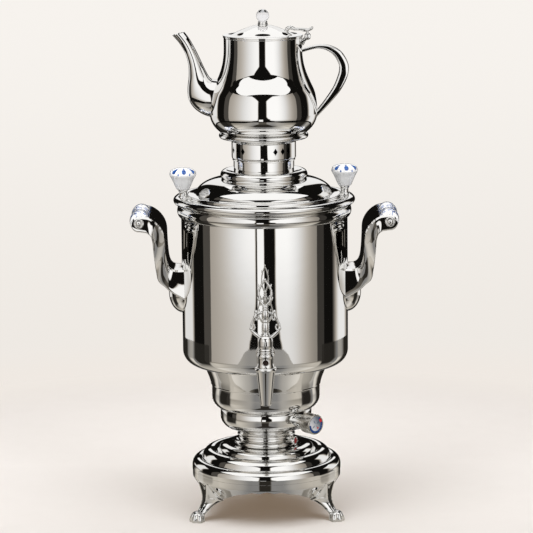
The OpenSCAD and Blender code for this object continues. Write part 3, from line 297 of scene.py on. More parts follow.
class Graph:
    """Builds a shader node tree."""

    def __init__(self, tree):
        self.nodes, self.links = tree.nodes, tree.links

    def add(self, kind, **attributes):
        node = self.nodes.new("ShaderNode" + kind)
        for key, value in attributes.items():
            setattr(node, key, value)
        return node

    def give(self, socket, value):
        """Links the value to the socket or sets it; a colour is given without its alpha."""
        if isinstance(value, Value):
            value = value.socket
        elif isinstance(value, bpy.types.Node):
            value = value.outputs[0]
        if isinstance(value, bpy.types.NodeSocket):
            self.links.new(value, socket)
        else:
            socket.default_value = (*value, 1) if socket.type == "RGBA" else value

    def put(self, node, *values, **named):
        """Gives the node its inputs, in order or by name, with _ for a space."""
        for key, value in [*enumerate(values), *named.items()]:
            self.give(node.inputs[key if isinstance(key, int) else key.replace("_", " ")], value)
        return node

    def math(self, op, *values):
        return Value(self, self.put(self.add("Math", operation=op), *values).outputs[0])

    def step(self, value, lo, hi, out_lo=0.0, out_hi=1.0):
        """A smooth change from out_lo to out_hi while the value goes from lo to hi."""
        node = self.add("MapRange", interpolation_type="SMOOTHSTEP", clamp=True)
        return Value(self, self.put(node, value, lo, hi, out_lo, out_hi).outputs[0])

    def between(self, value, lo, hi, soft):
        """1 where the value lies between lo and hi."""
        return self.step(value - lo, -soft, soft) * self.step(hi - value, -soft, soft)

    def repeat(self, value, part):
        """Distance from the middle of the part that the value lies in."""
        return self.math("FLOORED_MODULO", value, part) - part / 2

    def larger(self, a, b):
        return self.math("MAXIMUM", a, b)

    def length(self, u, v):
        return self.math("SQRT", u * u + v * v)

    def angle(self, v, u):
        return self.math("ARCTAN2", v, u)

    def mix(self, share, a, b):
        """From colour a to colour b; a mix node has its colours as inputs 6 and 7."""
        node = self.put(self.add("Mix", data_type="RGBA"), share)
        self.give(node.inputs[6], a)
        self.give(node.inputs[7], b)
        return node.outputs[2]

    def noise(self, vector, scale, detail=3.0, rough=0.5):
        node = self.put(self.add("TexNoise"), Vector=vector, Scale=scale, Detail=detail, Roughness=rough)
        return Value(self, node.outputs[0])

    def xyz(self, vector):
        return [Value(self, axis) for axis in self.put(self.add("SeparateXYZ"), vector).outputs]

    def bump(self, height, strength, distance):
        return self.put(self.add("Bump"), Height=height, Strength=strength, Distance=distance)

    def emission(self, color, strength):
        return self.put(self.add("Emission"), color, strength)

    def show(self, node):
        """Makes the node the material's surface."""
        self.put(self.nodes["Material Output"], node)


def new_material(name):
    """The material, its graph, its shader and the place in metres."""
    mat = bpy.data.materials.new(name)
    mat.use_nodes = True
    g = Graph(mat.node_tree)
    return mat, g, g.nodes["Principled BSDF"], g.add("TexCoord").outputs["Object"]


def times(color, factor):
    return [c * factor for c in color]


# ------------ materials


def metal(name, color, rough, spread, bump, scale):
    """Polished or satin metal: faint wipe marks in the roughness and a very slight hammer of the surface."""
    mat, g, shader, place = new_material(name)
    smear, broad = g.noise(place, scale, 4.0, 0.6), g.noise(place, scale * 0.16, 2.0)
    height = smear * 0.3 + g.noise(place, scale, 1.0)
    g.put(shader, Metallic=1.0, Roughness=smear * broad * (spread * 2) + rough,
          Base_Color=g.mix(broad, times(color, 0.97), color), Normal=g.bump(height, bump, 0.001))
    return mat


def plain(name, color, rough, **sockets):
    """Plastic, rubber or a lens, with a fine grain."""
    mat, g, shader, place = new_material(name)
    grain = g.noise(place, 300.0)
    g.put(shader, Roughness=grain * 0.1 + (rough - 0.05), Base_Color=g.mix(grain, times(color, 0.9), color),
          Normal=g.bump(grain, 0.1, 0.0002), **sockets)
    return mat


def crystal():
    """Clear lead glass."""
    mat, g, shader, place = new_material("crystal")
    tint = (0.93, 0.95, 1.0)
    g.put(shader, Base_Color=g.mix(g.noise(place, 60.0), times(tint, 0.98), tint),
          Transmission_Weight=1.0, Roughness=0.0, IOR=1.6)
    return mat


def along_axis(g, place, centre, axis):
    """Distance in millimetres from the centre, given in millimetres, along an axis of unit length."""
    node = g.put(g.add("VectorMath", operation="DOT_PRODUCT"), place, axis)
    offset = sum(c * a for c, a in zip(centre, axis))
    return g.math("MULTIPLY_ADD", node.outputs["Value"], 1 / MM, -offset)


def petals(g, u, v, count, turn, near, far, wide):
    """Mask of petals round a centre, in the plane of u and v (millimetres)."""
    r = g.length(u, v)
    across = abs(g.math("SINE", g.repeat(g.angle(v, u) + turn, 2 * pi / count)) * r)
    t = (r - near) / (far - near)
    half = g.math("SINE", g.math("POWER", g.larger(t, 0.0), 1.3) * pi) * wide
    return g.step(half - across, -0.12, 0.12) * g.step(abs(t - 0.5), 0.48, 0.5, 1.0, 0.0)


def porcelain(name, paint):
    """White glaze with blue painting; paint returns a mask of the painted part."""
    mat, g, shader, place = new_material(name)
    white = g.mix(g.noise(place, 900.0, 2.0), (0.70, 0.705, 0.715), (0.73, 0.735, 0.745))
    blue = g.mix(g.step(g.noise(place, 420.0), 0.38, 0.62), (0.008, 0.042, 0.20), (0.035, 0.12, 0.36))
    g.put(shader, Base_Color=g.mix(paint(g, place), white, blue), Roughness=0.16, Coat_Weight=0.6,
          Coat_Roughness=0.04)
    return mat


def knob_paint(g, place):
    """Petals round the tip of each lid knob, with a dot between every two."""
    mask, count = 0.0, 7
    up = g.xyz(place)[2] * (1 / MM) - (RIM_Z + ROLL_H + STEM_H)
    for side in (-1, 1):
        u, v = (along_axis(g, place, knob_place(side).translation, axis) for axis in ((1, 0, 0), (0, 1, 0)))
        near = g.step(g.length(u, v), 16.0, 17.0, 1.0, 0.0)
        for start, mid, tall, wide in ((0.1, 18.1, 2.5, 2.1), (0.1 + pi / count, 15.2, 1.2, 0.6)):
            across = g.repeat(g.angle(v, u) + start, 2 * pi / count) * (KNOB_R * 0.86) / wide
            high = (up - mid) / tall
            oval = g.step(across * across + high * high, 0.85, 1.1, 1.0, 0.0)
            mask = g.larger(oval * near, mask)
    return mask


def grip_paint(g, place):
    """Sprigs round each grip: rows of flowers along it, joined by a wavy stem."""
    x, y, z = g.xyz(place)
    # Millimetres round the grip where the stem and the flowers lie, waves per metre and how far they go
    stem_at, flowers_at, waves, wave_size = 14.0, 28.0, 420.0, 2.6
    wave = g.math("SINE", y * waves) * wave_size
    mask = 0.0
    for side in (-1, 1):
        out = along_axis(g, place, (side * GRIP_REACH, 0, 0), (side, 0, 0))
        up = along_axis(g, place, (0, 0, GRIP_H), (0, 0, 1))
        around = g.angle(up, out) * GRIP_R
        sprigs = g.step(abs(around - stem_at - wave), 0.28, 0.5, 1.0, 0.0)
        for row in (-24, -8, 8, 24):
            across = g.repeat(around + flowers_at, 2 * pi * GRIP_R / 4)
            sprigs = g.larger(petals(g, y * (1 / MM) - row, across, 5, 0.3, 1.2, 7.4, 2.0), sprigs)
        mask = g.larger(sprigs * g.math("COMPARE", g.math("SIGN", x), side, 0.5), mask)
    return mask


def dial_print_and_sheen():
    """Face with a painted sheen, silvery at the lower left and dark at the upper right, with four blades, a blue
    ring with ticks and two red marks.
    """
    mat, g, shader, place = new_material("dial_print_and_sheen")
    a = radians(DIAL_TURN)
    centre = (DIAL_REACH * sin(a), -DIAL_REACH * cos(a), KNOB_Z)
    u, v = (along_axis(g, place, centre, axis) for axis in ((cos(a), sin(a), 0), (0, 0, 1)))
    r, turn = g.length(u, v), g.angle(v, u) * (180 / pi)
    blades = petals(g, u, v, 4, 0.2, 0.6, 5.6, 0.7) * 0.7
    ring = g.between(r, 6.3, 8.5, 0.12) * g.step(abs(turn + 62.0), 118.0, 122.0, 1.0, 0.0)
    ticks = g.step(abs(g.repeat(turn + 7.5, 15.0)), 1.0, 1.6, 1.0, 0.0) * g.between(r, 7.1, 7.9, 0.08)
    upper = g.between(turn, 14.0, 44.0, 1.0) * g.between(r, 5.7, 8.3, 0.12)
    lower = g.between(turn, -66.0, -44.0, 1.0) * g.between(r, 3.4, 5.2, 0.12)
    # Painted sheen: the face goes from dark at the upper right to silvery at the lower left
    color = g.mix(g.step(u + v * 0.6, -7.0, 8.0, 1.0, 0.0), (0.10, 0.13, 0.17), (0.66, 0.66, 0.68))
    for mask, ink in ((blades, (0.04, 0.08, 0.17)), (ring, (0.001, 0.040, 0.20)), (ticks, (0.20, 0.28, 0.42)),
                      (g.larger(upper, lower), (0.62, 0.03, 0.03))):
        color = g.mix(mask, color, ink)
    g.put(shader, Base_Color=color, Roughness=g.noise(place, 700.0, 2.0) * 0.1 + 0.3, Metallic=0.25,
          Specular_IOR_Level=0.15)
    return mat


# Colour, roughness, its spread, strength of the bump and scale of the marks
METALS = {
    "polished_steel": ((0.86, 0.855, 0.84), 0.018, 0.012, 0.02, 60.0),
    "cast_chrome": ((0.86, 0.857, 0.845), 0.03, 0.02, 0.04, 160.0),
    "plain_steel": ((0.62, 0.62, 0.61), 0.28, 0.1, 0.1, 400.0),
    "brass": ((0.80, 0.62, 0.32), 0.22, 0.1, 0.1, 300.0),
    "sheath": ((0.42, 0.39, 0.34), 0.4, 0.2, 0.2, 250.0),
    "satin_steel": ((0.66, 0.64, 0.60), 0.24, 0.06, 0.05, 500.0),
    "dark_steel": ((0.07, 0.05, 0.045), 0.3, 0.06, 0.05, 500.0),
    # A dark chrome for the painted shade in the legs' grooves
    "groove_shade_chrome": ((0.05, 0.047, 0.042), 0.12, 0.05, 0.05, 400.0),
}
# By the record's slot, and by a name of its own where a piece differs from its slot
FINISH = {
    **{name: metal(name, *look) for name, look in METALS.items()},
    "black_plastic": plain("black_plastic", (0.025, 0.025, 0.028), 0.45),
    "rubber": plain("rubber", (0.03, 0.03, 0.03), 0.7),
    "red_lens": plain("red_lens", (0.26, 0.010, 0.010), 0.15, Coat_Weight=0.8, Coat_Roughness=0.05),
    "crystal": crystal(),
    "porcelain": porcelain("grip_glaze", grip_paint),
    "knob_glaze": porcelain("knob_glaze", knob_paint),
    "dial": dial_print_and_sheen(),
}

# ------------ camera and studio

# The camera fitted to the picture: frame, focal length and centre in pixels, sensor in millimetres,
# place in metres, angles in degrees
IMAGE, FOCAL, CENTRE, SENSOR = 533, 2690.0, (264.82, 268.6), 36.0
CAMERA_AT, CAMERA_DOWN, CAMERA_ROLL = (0, -2.6, 0.7174), 10.3, -0.5


def camera():
    data = bpy.data.cameras.new("camera")
    cam = bpy.data.objects.new("camera", data)
    bpy.context.scene.collection.objects.link(cam)
    data.sensor_fit = "HORIZONTAL"
    data.sensor_width = SENSOR
    data.lens = SENSOR * FOCAL / IMAGE
    data.shift_x = (IMAGE / 2 - CENTRE[0]) / IMAGE
    data.shift_y = (CENTRE[1] - IMAGE / 2) / IMAGE
    data.clip_start, data.clip_end = 0.1, 50.0
    cam.matrix_world = shift(*CAMERA_AT) @ rotate(90 - CAMERA_DOWN, "X") @ rotate(CAMERA_ROLL, "Z")
    bpy.context.scene.camera = cam


SHELL_R, SHELL_TOP, SHELL_DARK = 2.0, 1.75, 0.006
# Lower and upper edge of the boxes, height (m) above which their inner edge leans outwards and how much
# (degrees/m), softness of their outer edge (degrees) and of all upper and lower edges (m)
BOX_LOW, BOX_HIGH, CHAMFER_Z, CHAMFER, BOX_SOFT, LEVEL_SOFT = -0.32, 1.57, 0.95, 25.0, 0.8, 0.008
# Soft boxes left (-1) and right (1): inner edge in degrees, how far it lies further out by height (m), its
# softness, outer edge, level at the inner edge at two heights, level far out, and where it falls off
STUDIO_BOXES = (
    {"side": -1.0, "inner": 11.0, "upper": (0.0, 0.26, 1.0, 0.0), "foot": (-0.30, -0.13, 12.5, 0.0),
     "soft": (-0.8, 1.6), "outer": 79.5, "low": (-0.20, -0.03, 0.74, 1.08), "far": 0.41, "fall": (14.0, 84.0)},
    {"side": 1.0, "inner": 6.5, "upper": (0.04, 0.26, 7.6, 0.0), "foot": (-0.30, -0.13, 10.5, 0.0),
     "soft": (-1.4, 1.8), "outer": 75.5, "low": (-0.22, -0.02, 0.86, 1.14), "far": 0.28, "fall": (28.0, 78.0)},
)
# Azimuth from and to, height from and to, level, softness of the sides
STUDIO_CARDS = (
    (-10.0, -1.0, -0.36, 0.03, 1.08, 0.6),
    (-92.5, -79.0, -0.32, 1.5, 0.075, 0.8),
    (75.0, 88.0, -0.32, 1.5, 0.045, 0.8),
    (-148.0, -117.0, -0.40, 0.14, 0.84, 4.0),
    (-137.0, -116.0, 0.12, 1.25, 0.90, 3.0),
    (114.0, 148.0, -0.40, 0.14, 0.92, 10.0),
    (112.0, 137.0, 0.12, 1.25, 0.94, 5.0),
    (164.0, 181.0, 0.60, 1.72, 0.95, 0.8),
    (-181.0, -164.0, 0.60, 1.72, 0.95, 0.8),
)
# Cards overhead, in front and behind: x and y from and to
OVERHEAD, CARD_Z, CARD_LEVEL = ((-1.66, 1.66, -1.5, 0.15), (-0.5, 0.5, 0.72, 1.75)), 1.6, 1.12
# Name, azimuth, elevation, distance (m), size (m), power (W)
LAMPS = (("key_left", -40, 45, 1.2, 0.9, 9.0), ("key_right", 45, 40, 1.2, 0.9, 7.0),
         ("top", 0, 85, 1.1, 1.0, 7.0))
LAMP_AIM, LAMP_COLOR = (0, 0, 0.25), (1.0, 0.985, 0.965)
WORLD_LIGHT = (0.5, 0.49, 0.48)
# Radius of the floor, how far it lies under the soles (m), and the camera's elevation of its far edge (degrees)
FLOOR_EDGE, FLOOR_GAP, FLOOR_EDGE_EL = 0.885, 0.0002, -11.64
# Brightness of the floor: rise per metre backwards, at the axis, least and most
FLOOR_SHADE = (1.125, 0.909, 0.72, 1.12)
FLOOR_COLOR = (0.63, 0.637, 0.645)
FLOOR_GLOW = (0.125, 0.075, 0.035)
FLOOR_FAR = (0.868, 0.815, 0.762)
# The table that the metal mirrors glows at these levels, with painted light and shade: near the object at the
# sides, near it towards the front (in part painted shade), further out, painted shade in front further out and
# nearer, painted black shade, and its own gloss
TABLE_NEAR = (0.56, 0.52, 0.455)
TABLE_MID = (0.20, 0.182, 0.152)
TABLE_FAR = (0.21, 0.19, 0.157)
TABLE_DARK = (0.10, 0.09, 0.075)
TABLE_SHADE_NEAR = (0.025, 0.022, 0.018)
TABLE_BLACK = (0.02, 0.018, 0.015)
TABLE_GLOSS = (0.2, 0.2, 0.2)


def azimuth(g, x, y):
    """Degrees, 0 towards the camera and positive to the right."""
    return g.angle(x, y * -1.0) * (180 / pi)


def stage_mesh(name, verts, faces, mat, seen=False):
    """Part of the studio, in metres."""
    me = bpy.data.meshes.new(name)
    me.from_pydata(verts, [], faces)
    me.materials.append(mat)
    ob = bpy.data.objects.new(name, me)
    bpy.context.scene.collection.objects.link(ob)
    if not seen:
        ob.visible_camera = ob.visible_shadow = ob.visible_transmission = False
    return ob


def studio_shell():
    """Soft boxes and black cloths round the object, as one emissive surface that reflections and light see."""
    heights = [-1.6, -0.8, -0.3, 0.0, 0.3, 0.6, 1.0, 1.4, SHELL_TOP]
    profile = [(SHELL_R, z) for z in heights] + [(SHELL_R * (1 - i / 12), SHELL_TOP) for i in range(1, 13)]
    mat, g, shader, place = new_material("studio_light")
    g.nodes.remove(shader)
    x, y, z = g.xyz(place)
    az = azimuth(g, x, y)
    light = SHELL_DARK
    for box in STUDIO_BOXES:
        side, far = az * box["side"], box["far"]
        lean = g.step(z, *box["upper"]) + g.step(z, *box["foot"]) + g.larger(z - CHAMFER_Z, 0.0) * CHAMFER
        mask = g.step(side - (lean + box["inner"]), *box["soft"])
        mask *= g.step(side, box["outer"] - BOX_SOFT, box["outer"] + BOX_SOFT, 1.0, 0.0)
        mask *= g.between(z, BOX_LOW, BOX_HIGH, LEVEL_SOFT)
        level = (g.step(z, *box["low"]) - far) * g.step(side, *box["fall"], 1.0, 0.0) + far
        light = g.larger(mask * level, light)
    for az0, az1, z0, z1, level, soft in STUDIO_CARDS:
        light = g.larger(g.between(az, az0, az1, soft) * g.between(z, z0, z1, LEVEL_SOFT) * level, light)
    g.show(g.emission(g.mix(g.step(light, 0.35, 0.95), (1.0, 0.905, 0.79), (1.0, 0.992, 0.985)), light))
    stage_mesh("studio_shell", *spin(profile, 96, closed=False), mat)


def overhead():
    """Cards over the object, which the lid and the crown mirror."""
    mat, g, shader, place = new_material("overhead_light")
    g.nodes.remove(shader)
    g.show(g.emission(g.mix(g.noise(place, 3.0), (1.0, 0.99, 0.98), (1.0, 0.995, 0.99)), CARD_LEVEL))
    verts = [(x, y, CARD_Z) for x0, x1, y0, y1 in OVERHEAD for x, y in ((x0, y0), (x1, y0), (x1, y1), (x0, y1))]
    stage_mesh("overhead", verts, [(i, i + 3, i + 2, i + 1) for i in range(0, len(verts), 4)], mat)


def backdrop_color(g, el):
    """Wall colour by elevation of the line of sight, in degrees."""
    return g.mix(g.step(el, -13.0, -4.0), (0.855, 0.815, 0.768), (0.930, 0.896, 0.855))


def world():
    """The backdrop for the camera, an even light for all else."""
    w = bpy.data.worlds.new("world")
    bpy.context.scene.world = w
    w.use_nodes = True
    g = Graph(w.node_tree)
    x, y, z = g.xyz(g.add("TexCoord").outputs["Generated"])
    el = g.angle(z, g.length(x, y)) * (180 / pi)
    path = g.add("LightPath").outputs
    seen = g.larger(path["Is Camera Ray"], path["Is Transmission Ray"])
    g.put(g.nodes["Background"], Color=g.mix(seen, WORLD_LIGHT, backdrop_color(g, el)), Strength=1.0)


def floor():
    """Pale for the camera; for reflections in the metal, a glowing beige table with painted light and shade."""
    mat, g, shader, place = new_material("floor")
    verts = [(FLOOR_EDGE * cos(a), FLOOR_EDGE * sin(a), 0) for a in round_angles(96)]
    stage_mesh("floor", verts, [tuple(range(len(verts)))], mat, True).location = (0, 0, -FLOOR_GAP)
    x, y, z = g.xyz(place)
    r = g.length(x, y)
    path = g.add("LightPath").outputs
    mottle = g.noise(place, 34.0, 4.0, 0.6) * 0.7 + g.noise(place, 9.0, 2.0) * 0.3
    color = g.mix(mottle, times(FLOOR_COLOR, 0.965), times(FLOOR_COLOR, 1.035))
    # A little paler further back, where less of the lamps' light falls
    rise, middle, least, most = FLOOR_SHADE
    paler = g.math("MINIMUM", g.larger(y * rise + middle, least), most)
    even = g.put(g.add("VectorMath", operation="SCALE"), color, Scale=paler)
    g.put(shader, Base_Color=even, Roughness=0.75, Specular_IOR_Level=0.2)
    lit = g.put(g.add("AddShader"), shader, g.emission(FLOOR_GLOW, path["Is Camera Ray"]))
    # Towards its edge the floor fades into the backdrop
    far = g.emission(g.mix(g.step(r, 0.66, 0.88), FLOOR_FAR, backdrop_color(g, FLOOR_EDGE_EL)), 1.0)
    fade = g.put(g.add("MixShader"), g.step(r, 0.50, 0.66) * path["Is Camera Ray"], lit, far)
    # In the polished metal the table glows beige with painted light and is a little glossy, with painted shade
    # in front where the camera stands; it recedes on both sides, so that the soft boxes reach below it
    az = abs(azimuth(g, x, y))
    near = g.mix(g.step(az, 30.0, 72.0), TABLE_MID, TABLE_NEAR)
    tone = g.mix(g.step(r, 0.42, 0.64), near, TABLE_FAR)
    dark = g.mix(g.step(r, 0.48, 0.64), TABLE_SHADE_NEAR, TABLE_DARK)
    tone = g.mix(g.step(az, 20.0, 36.0, 1.0, 0.0), tone, dark)
    # Painted shade: the mirrored table is black on the sides near the object and all along the back
    shaded_sides = g.between(az, 79.0, 116.0, 2.5) * g.step(r, 0.12, 0.34)
    tone = g.mix(g.larger(g.step(az, 122.0, 136.0), shaded_sides), tone, TABLE_BLACK)
    # Painted shadow: the table glows only half as bright close round the object's foot
    table = g.emission(tone, g.step(r, 0.04, 0.12, 0.5, 1.0))
    top = g.put(g.add("AddShader"), table, g.put(g.add("BsdfGlossy"), Color=TABLE_GLOSS, Roughness=0.04))
    edge = g.larger(g.step(az, 21.0, 44.0, FLOOR_EDGE, 0.745), g.step(az, 78.0, 82.0, 0.0, FLOOR_EDGE))
    open_air = g.put(g.add("MixShader"), g.step(r - edge, -0.003, 0.003), top, g.add("BsdfTransparent"))
    g.show(g.put(g.add("MixShader"), path["Is Glossy Ray"], fade, open_air))


def soft_lamps():
    """Broad soft lamps that light the matt and glazed surfaces; polished metal mirrors only the studio."""
    aim = Vector(LAMP_AIM)
    for name, az, el, dist, size, power in LAMPS:
        a, e = radians(az), radians(el)
        where = Vector((sin(a) * cos(e), -cos(a) * cos(e), sin(e))) * dist + aim
        data = bpy.data.lights.new(name, "AREA")
        data.shape, data.size, data.energy, data.color = "DISK", size, power, LAMP_COLOR
        ob = bpy.data.objects.new(name, data)
        ob.location = where
        ob.rotation_euler = (aim - where).to_track_quat("-Z", "Y").to_euler()
        ob.visible_glossy = ob.visible_camera = False
        bpy.context.scene.collection.objects.link(ob)


# ------------ base


def arch_edge(x):
    """Height of an arch's edge above the skirt's foot, x from its middle."""
    u = min(abs(x) / ARCH_HALF_W, 1.0)
    return ARCH_RISE * (1 - u ** 2.6) + OGEE * cos(radians(24 * x)) * (1 - u)


def skirt_radius(z):
    """Outside of the skirt at height z: an upright band, then a cone down to the lower edge."""
    low = SEAM_H - BAND_H
    if z >= low:
        return SKIRT_R
    return SKIRT_R - (SKIRT_R - SKIRT_FOOT_R) * (low - z) / (SKIRT_H - BAND_H)


def skirt_edge(turn):
    """Height of the skirt's lower edge at an angle, in degrees, from the front."""
    a = radians((turn + 60) % 120 - 60)
    z = SKIRT_LOW
    for _ in range(12):
        x = skirt_radius(z) * sin(a)
        if abs(x) >= ARCH_HALF_W:
            return SKIRT_LOW
        z = SKIRT_LOW + max(arch_edge(x), 0.0)
    return z


def skirt():
    """A sheet with three ogee arches in its lower edge."""
    segments, rows, band_low = 720, 14, SEAM_H - BAND_H
    # How far the corner under the band is taken back, and the upper edge
    corner, chamfer = 0.12, 0.5
    upper = [SEAM_H, SEAM_H - chamfer, SEAM_H - 3.2, band_low + 1.4, band_low + 0.6, band_low, band_low - 0.6]
    outlines = []
    for a in round_angles(segments):
        low = skirt_edge(degrees(a))
        ring = []
        for z in upper + [upper[-1] + (low - upper[-1]) * i / rows for i in range(1, rows + 1)]:
            r = skirt_radius(z)
            if abs(z - band_low) < 1.0:
                r -= corner * (1 - abs(z - band_low))
            if z == SEAM_H:
                r -= chamfer
            ring.append((r, z))
        outlines.append(ring + [(r - SKIRT_WALL, z) for r, z in ring[::-1]])
    piece("skirt", (slices(outlines), grid(segments, len(outlines[0]))), node="base_skirt", sharp=40)


# Radius and height below the dome's top
DOME_SHAPE = [(5, 0), (20, 0), (34, 0), (40.2, 0.05), (43.8, 0.75), (46.2, 2.9), (47.1, 5.6), (47.7, 7.5),
              (49.0, 7.9), (50.4, 6.7), (52.6, 4.9), (55.4, 4.2), (59.2, 5.4), (62.1, 8.4), (63.5, 11.8),
              (64.0, 13.3), (65.1, 13.5), (66.9, 12.9), (70.0, 13.8), (DOME_R - 1, 16.6), (DOME_R, 20.2),
              (DOME_R, 22.5), (DOME_R, DOME_RISE)]


def base():
    skirt()
    dome = smooth([(r, DOME_TOP - fall) for r, fall in DOME_SHAPE], 7)
    piece("dome", spin(wall(dome, -SHEET)), node="base_dome")
    neck = ([(NECK_R - 1.8, 0), (NECK_R + 1.2, 0)] + arc(NECK_R + 1.4, 2.9, 3, 2.8, -75, 90, 20)
            + arc(NECK_R + 2.6, 8.3, 2.6, 2.6, 270, 180, 12) + arc(NECK_R - 0.4, 10.2, 1.7, 1.7, -60, 60, 12)
            + [(NECK_R, 12.6), (NECK_R + 0.3, NECK_H - 1.6), (NECK_R + 1.3, NECK_H), (NECK_R - 1.8, NECK_H)])
    piece("neck", spin(neck, place=shift(z=DOME_TOP)), node="neck_column")


# ------------ bowl and tank


def windowed_wall(points, t, s0, s1, low, high):
    """A turned sheet wall with a rectangular hole, from segment s0 to s1 and from height low to high."""
    points = tidy(points)
    profile = wall(points, t)
    n, m = len(profile), len(points)
    verts, faces = spin(profile)
    rows = [i for i in range(m - 1) if low - 1e-6 <= points[i][1] and points[i + 1][1] <= high + 1e-6]
    kept = [faces[s * n + i] for s in range(SEGMENTS) for i in range(n)
            if not (s0 <= s < s1 and (i in rows or 2 * m - 2 - i in rows))]
    kept += [(s * n + i, s * n + i + 1, s * n + 2 * m - 2 - i, s * n + 2 * m - 1 - i)
             for s in (s0, s1) for i in rows]
    kept += [(s * n + i, (s + 1) * n + i, (s + 1) * n + 2 * m - 1 - i, s * n + 2 * m - 1 - i)
             for i in (rows[0], rows[-1] + 1) for s in range(s0, s1)]
    return verts, kept


def bowl():
    """Three tiers, with the power inlet's window at the rear."""
    inlet_z, window = TIER_2_Z + 12.4, 24
    tier_3 = (arc(TIER_3_R - 13.1, NECK_TOP + 12, 13.1, 12, -90, 0, 28)
              + [(TIER_3_R, TIER_2_Z - 1.6), (TIER_3_R - 0.3, TIER_2_Z - 0.6), (TIER_3_R - 1, TIER_2_Z)])
    corner = arc(TIER_2_R - 12, TIER_2_Z + 12, 12, 12, -60, 0, 22)
    tier_2 = [(TIER_2_R, inlet_z + 4.0), (TIER_2_R, TIER_1_Z - 1), (TIER_2_R + 0.25, TIER_1_Z - 0.4),
              (TIER_2_R + 1, TIER_1_Z)]
    tier_1 = [(TIER_2_R + 1, TIER_1_Z + 1), (TIER_2_R + 3.2, TIER_1_Z + 0.42 * TIER_1_H), (TIER_1_R, TANK_Z)]
    line = [(4.3, NECK_TOP)] + tier_3 + corner + tier_2 + smooth(tier_1, 16)
    low = min(z for r, z in corner if z > inlet_z - 9.6)
    s0 = (SEGMENTS // 2 - window) // 2
    piece("bowl", windowed_wall(line, SHEET, s0, s0 + window, low, TIER_1_Z - 1), node="lower_bowl")


def tank():
    mid = RIM_Z - RIM_H / 2
    line = ([(0.01, TANK_Z), (TIER_1_R, TANK_Z), (TIER_1_R + 3, TANK_Z + 0.6)]
            + arc(TANK_R - TANK_CORNER, TANK_Z + 2 + TANK_CORNER, TANK_CORNER, TANK_CORNER, -84, 0, 40)
            + [(TANK_R, TANK_Z + 60), (TANK_R, TANK_Z + 120), (TANK_R, mid)])
    piece("tank", spin(wall(line, SHEET), FINE), node="body_tank")
    inner = TANK_R - 3.6
    ring = ([(TANK_R - 0.4, mid - RIM_H / 2 + 0.3)] + arc(TANK_R - 0.2, mid, RIM_OUT, RIM_H / 2, -70, 100, 44)
            + [(inner, RIM_Z - 0.2), (inner, mid - 2)])
    piece("rim", spin(ring, FINE), node="rim_ring")


# ------------ lid

# Height of the lid's ring above the rim, and radius of its tube's centre
RING_Z, RING_R = PLATEAU_Z + LID_DOME_H + 3.1, LID_RING_R - RING_TUBE
# Shares of the knob's radius and height
KNOB_SHAPE = [(0.5, 0.02), (0.65, 0.22), (0.82, 0.46), (0.97, 0.63), (1, 0.72), (0.9, 0.87), (0.55, 0.97),
              (0.15, 1)]


def lid():
    dome_x = 38
    shell = ([(CHIMNEY_R - 0.6, RING_Z + 4.9), (RING_R - 3, RING_Z + RING_TUBE - 0.5)]
             + arc(RING_R, RING_Z, RING_TUBE, RING_TUBE, 105, -36, 30)
             + arc(dome_x, PLATEAU_Z - DOME_SINK, LID_DOME_R - dome_x, LID_DOME_H + DOME_SINK, 80, 8, 40)
             + [(LID_DOME_R + 0.4, PLATEAU_Z + 0.2), (LID_DOME_R + 1.4, PLATEAU_Z)]
             + arc(PLATEAU_R - 1.6, PLATEAU_Z - 1.6, 1.6, 1.6, 90, 0, 12)
             + [(PLATEAU_R, GUTTER_Z + 0.8), (PLATEAU_R + 0.3, GUTTER_Z + 0.3), (PLATEAU_R + 1, GUTTER_Z),
                (LID_R - 2 * ROLL_R + 2, GUTTER_Z)])
    r, top = CHIMNEY_R, PLATEAU_Z + CHIMNEY_H
    chimney = [(r - 0.3, top + SPIGOT_H), (r, top + SPIGOT_H - 0.3), (r, top), (r + 0.8, top),
               (r + 1, top - 0.2), (r + 1, top - 1.1), (r + 0.8, top - 1.3), (r, top - 1.3), (r, RING_Z),
               (r - SHEET, RING_Z), (r - SHEET, top + SPIGOT_H)]
    roll = arc(LID_R - ROLL_R, ROLL_H / 2, ROLL_R, ROLL_H / 2, 0, 360, 56)[:-1]
    outer, inner, low = TANK_R - 3.5, TANK_R - 5, -7
    collar = [(outer, low), (outer, GUTTER_Z - 0.6), (inner, GUTTER_Z - 0.6), (inner, low)]
    up = shift(z=RIM_Z)
    turned = [spin(line, FINE, up) for line in (wall(shell, -SHEET), chimney, roll)]
    piece("lid_shell", *turned, spin(collar, 144, up), node="lid", body="lid")


def lid_knobs():
    foot = ROLL_H - 0.3
    top = foot + STEM_H
    r, w, tip = STEM_R, STEM_R - 1, top + KNOB_H
    knob = ([(0, 0), (KNOB_R * 0.44, 0.0), (KNOB_R * 0.48, 0.1)]
            + smooth([(KNOB_R * x, KNOB_H * z) for x, z in KNOB_SHAPE], 10) + [(0, KNOB_H)])
    stem = [(0, 6), (r, 6), (r, foot + 0.2), (r - 0.2, foot + 0.6), (w + 0.1, foot + 1.2), (w, foot + 1.8),
            (w, top - 2.8), (w + 0.2, top - 2.2), (r - 0.2, top - 1.7), (r, top - 1.3), (r, top - 0.3),
            (r - 0.3, top), (0, top)]
    stud = [(0, tip - 1.2), (1.55, tip - 1.2), (1.55, tip - 0.6), (1.2, tip - 0.35), (0, tip - 0.3)]
    places = {name: knob_place(side) @ shift(z=RIM_Z) for side, name in ((-1, "left"), (1, "right"))}
    for name, place in places.items():
        piece("knob_" + name, spin(knob, 128, place @ shift(z=top)), node="lid_knob_" + name, body="lid",
              slot="porcelain", look="knob_glaze")
    piece("knob_stems", *(spin(line, 72, place) for place in places.values() for line in (stem, stud)),
          node="lid_knob_stems", body="lid", slot="cast_chrome")


# ------------ crown


